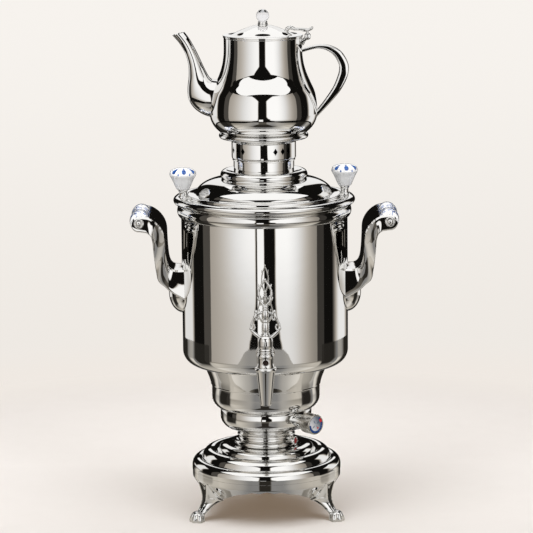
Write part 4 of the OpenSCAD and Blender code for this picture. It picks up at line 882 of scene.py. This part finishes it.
def crown():
    """A drum with four groups of three diamond vents, and the cup that carries the teapot."""
    bore, seat, mid = CHIMNEY_R + 0.3, POT_SEAT, DRUM_H * 0.55
    cx, cz = CUP_R - 2.5, POT_SEAT + 2
    low = [(bore, 0), (bore + 0.5, 0)] + arc(DRUM_R - 0.9, 2.6, 0.9, 2.2, -80, 0, 6) + [(DRUM_R, 4.2)]
    high = ([(DRUM_R, 16.2), (DRUM_R, DRUM_H - 0.5)]
            + smooth([(DRUM_R + 0.3, DRUM_H + 0.1), (DRUM_R + 1.8, DRUM_H + 1.0), (cx - 4.0, seat - 1.0),
                      (cx - 1.4, cz - 2.35)], 5)
            + arc(cx, cz, 2.5, 2.5, -115, 150, 26)
            + [(cx - 2.6, seat + 0.6), (cx - 3.4, seat), (26, seat), (26, seat - 1.2), (bore, seat - 2.8),
               (bore, 16.2)])
    vents = [VENT_TURN + 90 * q + i * VENT_PITCH for q in range(4) for i in (-1, 0, 1)]
    half_turn = degrees(asin(VENT_W / 2 / DRUM_R))
    segments, outlines, is_open = 720, [], []
    for a in round_angles(segments):
        near = min(abs((degrees(a) - vent + 180) % 360 - 180) for vent in vents)
        gap = VENT_H / 2 * max(0.0, 1 - near / half_turn)
        is_open.append(gap > 1e-6)
        outlines.append(low + [(DRUM_R, mid - gap), (DRUM_R, mid + gap)] + high
                        + [(bore, mid + gap), (bore, mid - gap)])
    # Places in the outline of the vents' lower and upper edge, outside (a, b) and inside (d, c)
    n, a = len(outlines[0]), len(low)
    b, c, d = a + 1, n - 2, n - 1
    faces = [face for i, face in enumerate(grid(segments, n)) if i % n not in (a, c)]
    for s in range(segments):
        t = (s + 1) % segments
        if is_open[s] or is_open[t]:
            faces += [(s * n + i, t * n + i, t * n + j, s * n + j) for i, j in ((a, d), (c, b))]
    piece("crown_ring", moved((slices(outlines), faces), shift(z=CROWN_Z)), node="crown", body="crown")


# ------------ teapot

# Outer edge, inner edge and half width of the spout's rings
SPOUT = [((-45, 19.5), (-42, 56.4), 13.5), ((-53.2, 20.6), (-46, 56.6), 13.5),
         ((-61.4, 24.2), (-49.4, 57.2), 12.8), ((-68.4, 30.2), (-52.4, 59.6), 11.6),
         ((-72.8, 38.6), (-54.6, 63.4), 10.2), ((-73.4, 49), (-57.2, 68.6), 9),
         ((-72.2, 59.6), (-59.8, 74.4), 8), ((-72.4, 70.6), (-63, 81.4), 7.2),
         ((-75.2, 81.6), (-67, 89.4), 6.5), ((-80.4, 91.4), (-71.2, 96.8), 6),
         ((-87.6, 100), (-75.6, 103), 5.8)]
EAR_PATH = [(MOUTH_R - 1.5, 83.6), (45, 86.2), (53.5, 87.8), (63.2, 86.4), (72.2, 80.8), (77.7, 71.6),
            (78.4, 64.8), (76.6, 57.6), (71.4, 46.8), (63.5, 36.1), (54.8, 25.9), (48, 18.5)]
EAR_THICK = [3, 2.8, 3.2, 5, 7.6, 9, 9.2, 8.8, 7.4, 5.8, 4.4, 4]


def spout():
    """The outer wall's rings to the tip, and the inner wall's back down to the pot's own wall."""
    lines = [[s[i] for s in SPOUT] for i in range(3)]
    stations = list(zip(smooth(lines[0]), smooth(lines[1]), eased(lines[2])))
    inner_rings, rings = 40, []
    for thick, part in ((0.0, stations), (1.0, stations[::-1][:inner_rings])):
        for outer, inner, width in part:
            mid, half = (Vector(outer) + Vector(inner)) / 2, (Vector(outer) - Vector(inner)) / 2
            half -= half.normalized() * thick
            rings.append(ring_at(mid, half, [(cos(a), (width - thick) * sin(a)) for a in round_angles(48, 0.5)]))
    piece("spout", moved(loft(rings), shift(z=POT_Z)), node="teapot_spout", body="teapot", sharp=50)


def strap(path, thick, wide, sides, powers):
    """A bar with a rounded oblong section along a path in the XZ plane, in which its thickness lies."""
    last, rings = len(path) - 1, []
    for i, p in enumerate(path):
        outline = []
        for a in round_angles(sides, 0.5):
            c, s = (copysign(abs(f) ** power, f) for f, power in zip((cos(a), sin(a)), powers))
            outline.append((thick[i] / 2 * c, wide[i] / 2 * s))
        rings.append(ring_at(p, left_of(path[max(i - 1, 0)], path[min(i + 1, last)]), outline))
    return loft(rings)


def ear():
    path = smooth(EAR_PATH, 10)
    wide = [10 + 3 * sin(pi * i / (len(path) - 1)) for i in range(len(path))]
    piece("ear", moved(strap(path, eased(EAR_THICK, 10), wide, 40, (0.5, 0.2)), shift(z=POT_Z)),
          node="teapot_handle", body="teapot", sharp=60)


def teapot():
    r, z = MOUTH_R, BELLY_Z
    pot = ([(0.01, 0), (20, 0)] + arc(24, z, BELLY_R - 24, z, -90, 0, 40)
           + smooth([(BELLY_R - 0.1, z + 5), (BELLY_R - 0.8, z + 12.5), (BELLY_R - 2.6, z + 21),
                     (BELLY_R - 6.6, z + 30), (r + 4.3, z + 38), (r + 1.8, z + 46), (r + 0.4, POT_H - 20),
                     (r, POT_H - 13), (r, POT_H - 1.6)])
           + [(r + 0.35, POT_H - 1.4), (r + 0.6, POT_H - 1.0), (r + 0.6, POT_H - 0.2), (r + 0.4, POT_H)])
    piece("pot", spin(wall(pot, POT_WALL), FINE, shift(z=POT_Z)), node="teapot_body", body="teapot")
    h = POT_LID_H
    cover = ([(0, h)] + smooth([(4, h), (11.3, h - 1.3), (22.4, h - 5.4), (30, 1.8), (33, 1.2)], 12)
             + [(r + 0.6, 1.2), (r + 0.9, 0.9), (r + 0.9, 0.3), (r + 0.6, 0.0), (r - 1.3, 0.0), (r - 1.3, -3.4),
                (r - 2.3, -3.4), (r - 2.3, 0.0), (30, 0.6), (22.4, h - 6.5), (11.3, h - 2.4), (0, h - 1.1)])
    piece("pot_lid", spin(cover, place=shift(z=POT_TOP)), node="teapot_lid", body="teapot_lid")
    spout()
    ear()


# ------------ feet

FOOT_TURNS = {"left": 210, "right": 330, "rear": 90}
# Height, radius of the ridges, half width, half distance of the ridges, depth of the groove and fall to the
# wing's edge
LEG = [(38.4, 73.7, 11.0, 9.6, 1.9, 0.6), (35.5, 73.3, 12.6, 8.2, 2.8, 2.0), (32, 72.6, 14.8, 6.8, 3.1, 3.6),
       (28.5, 72.0, 17.2, 5.7, 2.9, 5.2), (25.5, 71.7, 19.4, 4.8, 2.5, 6.8), (23.4, 71.6, 20.2, 4.2, 2.2, 7.8),
       (22.3, 71.6, 19.0, 4.0, 2.0, 8.0), (21.2, 71.7, 17.0, 3.8, 1.9, 7.6), (19.8, 72.0, 14.4, 3.6, 1.8, 7.0),
       (18.0, 72.5, 12.0, 3.4, 1.7, 6.4), (15.6, 73.6, 9.8, 3.1, 1.5, 5.4), (13.0, 75.1, 8.2, 2.9, 1.2, 4.6),
       (10.6, 76.9, 7.2, 2.6, 0.8, 4.0), (8.6, 78.6, 6.6, 2.4, 0.5, 3.6), (7.0, 79.6, 6.2, 2.2, 0.3, 3.4)]


def leg_rows():
    """The rows of LEG with smooth steps between them."""
    return zip(*(eased(column, 4) for column in zip(*LEG)))


def groove_front(ridge, groove, apart, u):
    """Radius in the groove between the ridges, u from its middle."""
    return ridge - groove * (0.5 + 0.5 * cos(pi * u / apart))


def groove_data():
    """Floor of the groove between the ridges, as a dark pointed panel of painted shade that runs down the leg.
    """
    low, high, proud, depth = 10.0, 37.4, 0.06, 1.2
    rings = []
    for z, ridge, half, apart, groove, fall in leg_rows():
        if low < z < high:
            w = 0.74 * apart * min(1.0, (z - low + 1) / 6.0)
            steps = [w * (j / 8 - 1) for j in range(17)]
            front = [(groove_front(ridge, groove, apart, u) + proud, u, z) for u in steps]
            rings.append(front + [(ridge - groove - depth, s * w * 0.9, z) for s in (1, -1)])
    return loft(rings)


def leg_data():
    """Cast leg as horizontal slices: a groove between two ridges, and wings that run out along the skirt."""
    front_steps, back_steps, round_r, rings = 56, 16, 72, []
    for z, ridge, half, apart, groove, fall in leg_rows():
        ring = []
        for j in range(front_steps + 1):
            s = -half * cos(pi * j / front_steps)
            if abs(s) < apart:
                r = groove_front(ridge, groove, apart, s)
            else:
                v = (abs(s) - apart) / max(half - apart, 0.1)
                r = ridge - fall * (1 - (1 - v) ** 2.1) - 0.4 * min(v * 6, 1)
            if z > SKIRT_LOW + 0.4:
                # on the skirt the wing lies on its round surface
                r = max(r - s * s / (2 * round_r), sqrt(max((skirt_radius(z) + 0.25) ** 2 - s * s, 0)))
            ring.append((r, s, z))
        back = ridge - (9.0 + 0.5 * fall if z > SKIRT_LOW else max(0.9 * fall + 4.2, 7.6))
        end = ring[0][0]
        for j in range(1, back_steps):
            a = pi * j / back_steps
            ring.append((end + (back - end) * sin(a) ** 0.7, half * cos(a), z))
        rings.append(ring)
    return loft(rings)


def paw_data():
    """Half a ball with toes in front: each toe is a lobe, with a nail that stands a little proud at its tip."""
    n, rows, toe_turn, front_turn = 120, 22, 50, 100
    tall, reach, toe_fall, toe_depth, nail_z, nail = 9.8, 8.6, 0.9, 1.9, 2.0, 0.35
    verts = []
    for i in range(rows + 1):
        e = pi / 2 * i / rows
        for a in round_angles(n):
            a -= pi
            front = abs(degrees(a)) < front_turn
            toe = abs(cos(pi * (degrees(a) - toe_turn / 2) / toe_turn)) ** 0.65 if front else 0.3
            lobe = (1 - toe) * max(0.0, cos(e * 1.25)) ** 0.7
            z = (tall - toe_fall * lobe) * sin(e) ** 0.9
            r = (reach - toe_depth * lobe) * (1.0 if front else 0.92) * cos(e) ** 0.62
            if front:
                r += nail * toe ** 6 * exp(-((z - nail_z) / 0.9) ** 2)
            verts.append((PAW_REACH + r * cos(a), r * sin(a), z))
    return verts, grid(rows + 1, n, False) + [tuple(range(n))]


def feet():
    for name, turn in FOOT_TURNS.items():
        place = rotate(turn, "Z")
        leg, paw, groove = (moved(data, place) for data in (leg_data(), paw_data(), groove_data()))
        piece("paw_foot_" + name, leg, paw, node="foot_" + name, slot="cast_chrome", sharp=60)
        # A dark panel of painted shade fills each leg's groove
        piece("leg_groove_" + name, groove, slot="cast_chrome", look="groove_shade_chrome", sharp=60)


# ------------ tap

BARREL_Z = TAP_H - BARREL_H / 2
COLLAR_Z = BARREL_Z + BARREL_H
KEY_Z = COLLAR_Z + COLLAR_H + 0.05


def at_tap(z):
    return shift(0, -TAP_REACH, z)


def wire(points, radii, sides=14):
    """A round bar with rounded ends through points of the XZ plane, with a radius at each point."""
    path, radius = smooth(points), eased(radii)
    last, rings = len(path) - 1, []
    end = [(sin(radians(e)), cos(radians(e))) for e in (20, 40, 60, 84)]
    for i, p in enumerate(path):
        n = left_of(path[max(i - 1, 0)], path[min(i + 1, last)])
        steps = [(0.0, 1.0)]
        if i == 0:
            steps = [(-out, size) for out, size in end[::-1]] + steps
        if i == last:
            steps += end
        for out, size in steps:
            mid, r = Vector(p) + Vector((n[1], -n[0])) * radius[i] * out, radius[i] * size
            rings.append(ring_at(mid, n, [(r * cos(a), r * sin(a)) for a in round_angles(sides)]))
    return loft(rings)


def ball(x, z, r):
    return spin([(0, -r)] + arc(0, 0, r, r, -80, 80, 14) + [(0, r)], 24, shift(x, 0, z))


# Millimetres above the key's cap: the post's outline, and points and radii of the wires of the right half
KEY_POST = [(4.3, -0.5), (2.9, 0.5), (2.75, 1.2), (3.25, 2.2), (3.4, 4), (3.4, 7.4), (3.1, 9.2), (2.4, 10.2),
            (2.35, 10.8), (3.15, 11.6), (3.15, 12.4), (2.6, 13.1), (2.75, 13.8), (3.35, 15.2), (3.55, 17.5),
            (3.5, 20.2), (3.05, 21.8), (2.2, 22.6), (2.9, 23.4), (2.95, 24.1), (2.25, 24.8), (2.8, 25.6),
            (2.5, 26.7), (1.2, 27.4)]
KEY_WIRES = {
    "leaf": ([(0.5, 26.2), (3.0, 29.0), (5.0, 32.4), (5.95, 37.4), (5.5, 42.0), (3.6, 46.2), (1.3, 49.6),
              (0.2, 51.4)], [1.3, 1.1, 1.15, 1.2, 1.1, 1.05, 0.95, 0.95]),
    "low_barb": ([(4.9, 31.6), (6.4, 33.0), (7.0, 34.8)], [1.1, 0.85, 0.6]),
    "high_barb": ([(4.4, 43.9), (5.6, 45.6), (5.9, 47.2)], [0.95, 0.75, 0.5]),
    "arm": ([(2.6, 21.2), (4.6, 19.5), (6.8, 19.3), (8.7, 20.6)], [1.15, 1.05, 1.1, 1.3]),
    "bow": ([(8.7, 20.4), (9.2, 18.0), (9.8, 15.8), (11.3, 12.8), (12.9, 9.6), (13.5, 6.2), (12.9, 3.2),
             (10.9, 0.9), (8.4, -1.2), (5.9, -3.2)], [1.1, 1.55, 1.7, 1.15, 1.0, 1.05, 1.2, 1.5, 1.65, 1.6]),
    "low_curl": ([(12.2, 3.0), (10.5, 4.3), (9.8, 6.2), (10.5, 7.8)], [0.9, 0.8, 0.7, 0.7]),
    "high_curl": ([(10.2, 16.4), (8.5, 13.4), (6.9, 13.8), (6.5, 15.5)], [1.1, 0.95, 0.8, 0.8]),
}
KEY_BALLS = [(8.7, 21.0, 1.75), (13.5, 4.8, 1.6), (10.6, 8.1, 1.1), (6.5, 15.7, 1.05)]


def key_parts():
    """The post with its ball, and the wires of the right half with their mirror image."""
    half = [wire(*line) for line in KEY_WIRES.values()] + [ball(*place) for place in KEY_BALLS]
    post = spin([(0, -1.4), (4.4, -1.4)] + smooth(KEY_POST, 5) + [(0, 27.5)], 48)
    both = [moved(part, Matrix.Diagonal((s, 1, 1, 1))) for s in (-1, 1) for part in half]
    return [post, ball(0, 51.6, 1.4)] + both


def tap():
    bore, t = TAP_BORE_R, TANK_R
    nozzle = ([(bore, 0), (8.4, 0)] + arc(8.4, -2.1, 2.05, 2.1, 88, -62, 18)
              + [(9.3, -4.5), (9.1, -5.4), (7.3, -20.5), (5.55, -35.2), (5.45, -36.3), (5.1, -36.85),
                 (4.4, -37), (bore, -37)])
    piece("nozzle", spin(nozzle, 96, at_tap(BARREL_Z)), node="tap_nozzle")
    collar = ([(5.5, 0), (7.7, 0)]
              + smooth([(8.0, 0.3), (7.7, 0.8), (7.0, 1.2), (6.85, 1.7), (7.4, 2.1), (7.75, 2.6), (7.5, 3.1),
                        (6.9, 3.42)], 4) + [(5.5, COLLAR_H)])
    piece("tap_waist", spin(collar, 96, at_tap(COLLAR_Z)), node="tap_collar")
    barrel = ([(bore, 0), (7.8, 0)]
              + smooth([(BARREL_R, 0.4), (8.25, 1.6), (7.95, 2.8), (7.85, 6), (7.9, 9.2), (8.15, 10.6),
                        (8.05, 11.6), (7.5, BARREL_H - 0.05)], 4) + [(5.5, BARREL_H), (4.8, 1), (bore, 1)])
    pipe_in, pipe_out = TANK_R - 15.4, TAP_REACH - 6.6
    pipe = ([(bore, pipe_in), (PIPE_R, pipe_in), (PIPE_R, t - 0.7), (8.8, t - 0.7)]
            + smooth([(9.1, t + 0.6), (8.9, t + 1.8), (8.0, t + 2.6), (7.3, t + 3.8), (7.0, t + 5.2),
                      (6.3, t + 6.6), (5.75, t + 8.0), (PIPE_R, t + 9.6)], 5)
            + [(PIPE_R, pipe_out), (bore, pipe_out)])
    screw = radial_place(0, TAP_H - 0.6, TAP_REACH + 7.2)
    ring = [(2.7, 0.0), (3.4, 0.0), (3.4, 0.9), (3.25, 1.25), (3.0, 1.35), (2.75, 1.2), (2.7, 0.9)]
    disc = [(0, 0.2), (2.75, 0.2), (2.75, 0.9), (1.2, 0.8), (0, 0.75)]
    piece("tap_valve", spin(barrel, 96, at_tap(BARREL_Z)), spin(pipe, 72, shift(z=TAP_H) @ rotate(90, "X")),
          spin(ring, 40, screw), node="tap_body")
    piece("tap_screw", spin(disc, 40, screw), slot="plain_steel", look="dark_steel")
    cap = ([(0, 0), (6.2, 0)]
           + smooth([(6.9, 0.3), (7.15, 0.9), (7.05, 1.6), (6.6, 2.1), (6.7, 2.8), (6.95, 4.6), (7.0, 9.4)], 4)
           + arc(2.5, 9.8, 4.5, 5.2, 2, 74, 14) + [(3.5, 15.2), (3.2, 15.8), (2.2, 16.3), (0, KEY_CAP_H)])
    piece("key_bell", spin(cap, 96, at_tap(KEY_Z)), node="tap_cap", body="tap_key")
    piece("filigree_key", *(moved(part, at_tap(KEY_Z + KEY_CAP_H)) for part in key_parts()), node="tap_key",
          body="tap_key", slot="cast_chrome", sharp=50)


# ------------ handles

# Shares of the way out from the tank to the grip, and of the bracket's height below the grip
LOW_EDGE = [(0, -1), (0.315, -0.899), (0.445, -0.835), (0.594, -0.759), (0.646, -0.633), (0.683, -0.43),
            (0.706, -0.228), (0.753, -0.154), (0.837, -0.119)]
HIGH_EDGE = [(0, -0.624), (0.193, -0.624), (0.301, -0.6), (0.361, -0.538), (0.394, -0.43), (0.415, -0.291),
             (0.431, -0.165), (0.497, -0.07), (0.615, 0.008), (0.767, 0.062), (0.907, 0.077)]
# How much the bracket's sides lean in towards its upper side, as a share of its depth, so that the left one
# mirrors the floor and not the white card
LEAN = {"left": 0.055, "right": 0.0}
# How far the pieces on the tank stay off its surface
TANK_CLEAR = 0.04


def even(points, n):
    """The same line as n + 1 points at even distances."""
    lengths = [0.0]
    for a, b in zip(points, points[1:]):
        lengths.append(lengths[-1] + (Vector(b) - Vector(a)).length)
    out, i = [], 0
    for k in range(n + 1):
        at = lengths[-1] * k / n
        while i < len(points) - 2 and lengths[i + 1] < at:
            i += 1
        t = (at - lengths[i]) / max(lengths[i + 1] - lengths[i], 1e-9)
        out.append(tuple(Vector(points[i]).lerp(Vector(points[i + 1]), min(t, 1.0))))
    return out


def on_tank(data):
    """The same piece, with the points inside the tank pushed out to its surface."""
    verts, faces = data
    grow = [max(1.0, (TANK_R + TANK_CLEAR) / hypot(x, y)) for x, y, z in verts]
    return [(x * k, y * k, z) for k, (x, y, z) in zip(grow, verts)], faces


def bracket_half(z):
    """Half the bracket's width at height z above the grip's axis."""
    t = min(1.0, max(0.0, (-0.1 * DROP - z) / (0.58 * DROP)))
    return FOOT_W / 2 + (HALF_SPAN - FOOT_W / 2) * (1 + cos(pi * t)) / 2


def bracket_ring(inner, outer, lean):
    """Section of the bracket from its inner to its outer edge, with slightly full sides that lean."""
    p0, p1 = Vector(inner), Vector(outer)
    w0, w1 = bracket_half(inner[1]), bracket_half(outer[1])
    a, b = max((p1 - p0).length / 2, 0.05), (w0 + w1) / 2
    corner, full = min(1.7, 0.5 * a), min(0.25, 0.05 * a)
    side_steps, corner_steps, edge_steps = 12, 7, 24
    flat, edge = a - corner, b - full * ((a - corner) / a) ** 2 - corner
    along = [flat * (2 * j / side_steps - 1) for j in range(side_steps + 1)]
    half = [(p, full * (p / a) ** 2 - b) for p in along]
    for e in (pi / 2 * j / corner_steps for j in range(1, corner_steps + 1)):
        half.append((flat + corner * sin(e), -(edge + corner * cos(e))))
    half += [(a, edge * (2 * j / edge_steps - 1)) for j in range(1, edge_steps + 1)]
    ring = []
    for p, y in half + [(-p, -y) for p, y in half]:
        u = (p / a + 1) / 2
        x, z = p0.lerp(p1, u)
        ring.append((x, y / b * (w0 + (w1 - w0) * u - lean * (1 - u) * 2 * a), z))
    return ring


def bracket(lean):
    """The right bracket, with the grip's axis at height 0."""
    root, tip_r, steps = TANK_R - 3, 7.4, 72
    low, high = (even(smooth([(root + x * (GRIP_REACH - root), z * DROP) for x, z in edge]), steps)
                 for edge in (LOW_EDGE, HIGH_EDGE))
    for a in map(radians, (95, 84, 72, 60, 49, 38, 28, 19, 11, 4)):
        high.append((GRIP_REACH + tip_r * cos(a), -1.2 + tip_r * sin(a)))
        low.append((GRIP_REACH + tip_r * cos(a), -1.2 - tip_r * sin(a)))
    return on_tank(loft([bracket_ring(inner, outer, lean) for inner, outer in zip(high, low)]))


def handles():
    g, r, room_r, room_len = GRIP_LEN / 2, GRIP_R, GRIP_R + 1.4, GRIP_LEN / 2 + GRIP_PLAY
    half = smooth([(r - 2.6, g), (r - 1.6, g * 0.985), (r - 0.9, g * 0.93), (r, g * 0.6), (r - 0.8, g * 0.25),
                   (r - 1.3, 0)], 10)
    grip = [(ROD_R + 0.1, g)] + half + [(r, -z) for r, z in half[::-1]] + [(ROD_R + 0.1, -g)]
    dome = [(0, 0), (BOSS_R, 0)] + arc(0, 0, BOSS_R, BOSS_OUT, 4, 88, 30) + [(0, BOSS_OUT)]
    rod_end = HALF_SPAN + 0.4
    rod = [(0, -rod_end), (ROD_R, -rod_end), (ROD_R, rod_end), (0, rod_end)]
    cap = ([(0, 0), (4.7, 0)]
           + smooth([(4.85, 0.5), (4.7, 1.3), (4.1, 1.85), (3.5, 1.75), (3.15, 1.35), (2.9, 1.5), (2.4, 2.4),
                     (1.4, 3.05), (0.5, 3.2)], 4) + [(0, 3.2)])
    for side, name in ((-1, "left"), (1, "right")):
        mirror = Matrix.Diagonal((side, 1, 1, 1))
        axis = shift(side * GRIP_REACH, 0, GRIP_H) @ rotate(-90, "X")
        room = spin([(0, -room_len), (room_r, -room_len), (room_r, room_len), (0, room_len)], 128, axis)
        carved_piece("bracket_" + name, moved(bracket(LEAN[name]), mirror @ shift(z=GRIP_H)), room,
                     node="handle_bracket_" + name, sharp=34)
        boss = spin(dome, 96, mirror @ shift(TANK_R - 2, 0, BOSS_Z) @ rotate(90, "Y"))
        piece("boss_" + name, on_tank(boss), node="handle_boss_" + name, sharp=50)
        piece("grip_piece_" + name, spin(grip, 96, axis), node="grip_" + name, slot="porcelain")
        caps = [spin(cap, 64, axis @ Matrix.Diagonal((1, 1, end, 1)) @ shift(z=HALF_SPAN)) for end in (-1, 1)]
        piece("rod_" + name, spin(rod, 32, axis), *caps, node="grip_rod_" + name)


# ------------ thermostat knob and lamp


def dial():
    """Knob with a printed disc in its recess."""
    place = radial_place(DIAL_TURN, KNOB_Z, DIAL_REACH - DIAL_LEN)
    r, face_r, top = DIAL_R, DIAL_R - 1.5, DIAL_LEN
    floor_z = top - 1.4
    knob = ([(3, 0), (r - 1.6, 0)] + arc(r - 1.5, 1.3, 1.3, 1.3, -90, 0, 8)
            + [(r - 0.15, 2.2), (r, 2.6), (r, top - 2.4)] + arc(r - 0.9, top - 1.5, 0.9, 1.1, 0, 90, 8)
            + [(face_r + 0.1, top - 0.5), (face_r, top - 0.7), (face_r, floor_z), (3, floor_z)])
    disc = [(0, floor_z), (face_r, floor_z), (face_r, floor_z + 0.5), (face_r - 0.3, floor_z + 0.7),
            (0, floor_z + 0.7)]
    piece("dial_knob", spin(knob, 96, place), node="thermostat_knob", body="thermostat_dial",
          look="satin_steel")
    piece("dial_disc", spin(disc, 96, place), node="dial_face", body="thermostat_dial", slot="dial")


def lamp():
    """Lens in its bezel, on the neck."""
    place = radial_place(LAMP_TURN, LAMP_Z, NECK_R)
    r, outer = LAMP_R, LAMP_R + 1.4
    ring = [(r, -3), (outer, -3), (outer, 4.2)] + arc(r + 0.7, 4.4, 0.7, 0.8, 0, 180, 10)
    lens = [(0, -8), (r, -8), (r, 4.6)] + arc(0, 4.6, r, 1.6, 8, 88, 14) + [(0, 6.2)]
    piece("bezel", spin(ring, 64, place), node="lamp_bezel")
    piece("lens", spin(lens, 48, place), node="lamp_lens", slot="red_lens")


# ------------ teapot lid's hinge, lever and finial

HINGE_X, HINGE_Z, KNUCKLE_R = MOUTH_R + 5.4, -0.6, 3.0
CRYSTAL_R, FINIAL_H = 6.3, 3.6


def knuckle(y0, y1, r):
    line = [(0, y0), (r - 0.4, y0), (r, y0 + 0.35), (r, y1 - 0.35), (r - 0.4, y1), (0, y1)]
    return spin(line, 48, shift(HINGE_X, 0, HINGE_Z) @ rotate(-90, "X"))


def cast_bar(points, thick, wide, sides=20, power=0.6):
    """A strap through points, with a thickness and a width at each."""
    return strap(smooth(points), eased(thick), eased(wide), sides, (power, power))


def hinge():
    """Everything is worked out from the top of the pot."""
    x, up, outer = HINGE_X, shift(z=POT_TOP), 4.6
    lever = cast_bar([(22.8, POT_LID_H - 3.6), (26.5, 8.0), (31, 6.6), (36, 6.2), (40.5, 5.6), (44.0, 5.7),
                      (47.0, 6.9), (48.2, 8.4)], [2.0, 3.6, 3.1, 2.9, 3.5, 3.0, 2.7, 1.6],
                     [3.4, 5.6, 5.4, 4.8, 5.4, 6.4, 6.8, 5.2], 24, 0.85)
    stem = cast_bar([(x, -0.6), (x - 0.2, 2.6), (x - 0.6, 5.4)], [3.4, 2.6, 2.6], [4.1, 4.0, 4.2])
    middle = [lever, stem, ball(23.8, POT_LID_H - 4.2, 2.1), knuckle(-2.05, 2.05, KNUCKLE_R + 0.15)]
    arm = cast_bar([(MOUTH_R + 0.1, -5.2), (MOUTH_R + 2.2, -4.0), (x - 1.2, -2.0), (x + 0.6, -0.8)],
                   [3.2, 3.0, 3.2, 2.6], [4.2] * 4)
    pad = cast_bar([(MOUTH_R + 0.6, -8.8), (MOUTH_R + 1.2, -6.6), (MOUTH_R + 1.4, -4.2)], [1.6, 2.8, 2.6],
                   [9.0, 12.6, 13.0])
    plate = [pad] + [part for y in (-outer, outer)
                     for part in (moved(arm, shift(y=y)), knuckle(y - 2.2, y + 2.2, KNUCKLE_R))]
    end = [(0, 6.0), (1.3, 6.0), (1.3, 7.3), (0.9, 7.75), (0, 7.9)]
    pin = [spin(end, 32, shift(x, 0, HINGE_Z) @ rotate(turn, "X")) for turn in (90, -90)]
    for name, node, body, parts, sharp in (("thumb_lever", "lid_lever", "teapot_lid", middle, 50),
                                           ("hinge_plate", "hinge_bracket", "teapot", plate, 50),
                                           ("pin_ends", "hinge_pin", "teapot", pin, 32)):
        piece(name, *(moved(part, up) for part in parts), node=node, body=body, slot="cast_chrome", sharp=sharp)


def faceted_ball(r, centre_z, rows=14, n=28):
    """Triangular facets; every second row of corners is turned by half a facet."""
    verts = [(0, 0, centre_z - r)]
    for i in range(1, rows):
        e = pi * i / rows - pi / 2
        around, z = r * cos(e), centre_z + r * sin(e)
        verts += [(around * cos(a), around * sin(a), z) for a in round_angles(n, 0.5 * (i % 2))]
    verts.append((0, 0, centre_z + r))
    top, faces = len(verts) - 1, []
    for k in range(n):
        j = (k + 1) % n
        faces += [(0, 1 + j, 1 + k), (top, top - n + k, top - n + j)]
        for i in range(rows - 2):
            low, high = 1 + i * n, 1 + (i + 1) * n
            corner = high + j if i % 2 == 0 else high + k
            faces += [(low + k, low + j, corner)]
            faces += [(low + k, high + j, high + k)] if i % 2 == 0 else [(low + j, high + j, high + k)]
    return verts, faces


def finial():
    base_z = POT_TOP + POT_LID_H
    stem = ([(0, -0.8), (5.2, -0.8)]
            + smooth([(5.3, -0.2), (4.9, 0.4), (4.4, 0.6), (4.95, 1.2), (4.5, 1.8), (4.2, 2.0), (4.75, 2.6),
                      (4.3, 3.2), (3.9, FINIAL_H)], 4) + [(3.4, 3.7), (2.0, 3.0), (0, 2.7)])
    piece("finial", spin(stem, 72, shift(z=base_z)), node="finial_stem", body="teapot_lid", slot="cast_chrome")
    piece("crystal_ball", faceted_ball(CRYSTAL_R, base_z + FINIAL_H + CRYSTAL_R - 1), node="crystal_knob",
          body="teapot_lid", slot="crystal", sharp=2)


# ------------ all together


def finish_cad():
    """Every CAD node gets its finish, whether a finer piece stands for it or not."""
    slots = {part["node"]: part["material_slot"] for part in frame["record"]["subparts"]}
    for name, node in frame["nodes"].items():
        node.data.materials.clear()
        node.data.materials.append(FINISH[slots[name]])


bpy.context.scene.view_settings.view_transform = "Standard"
for build in (camera, world, floor, studio_shell, overhead, soft_lamps, base, feet, bowl, tank, tap, handles,
              dial, lamp, lid, lid_knobs, crown, teapot, hinge, finial, finish_cad):
    build()
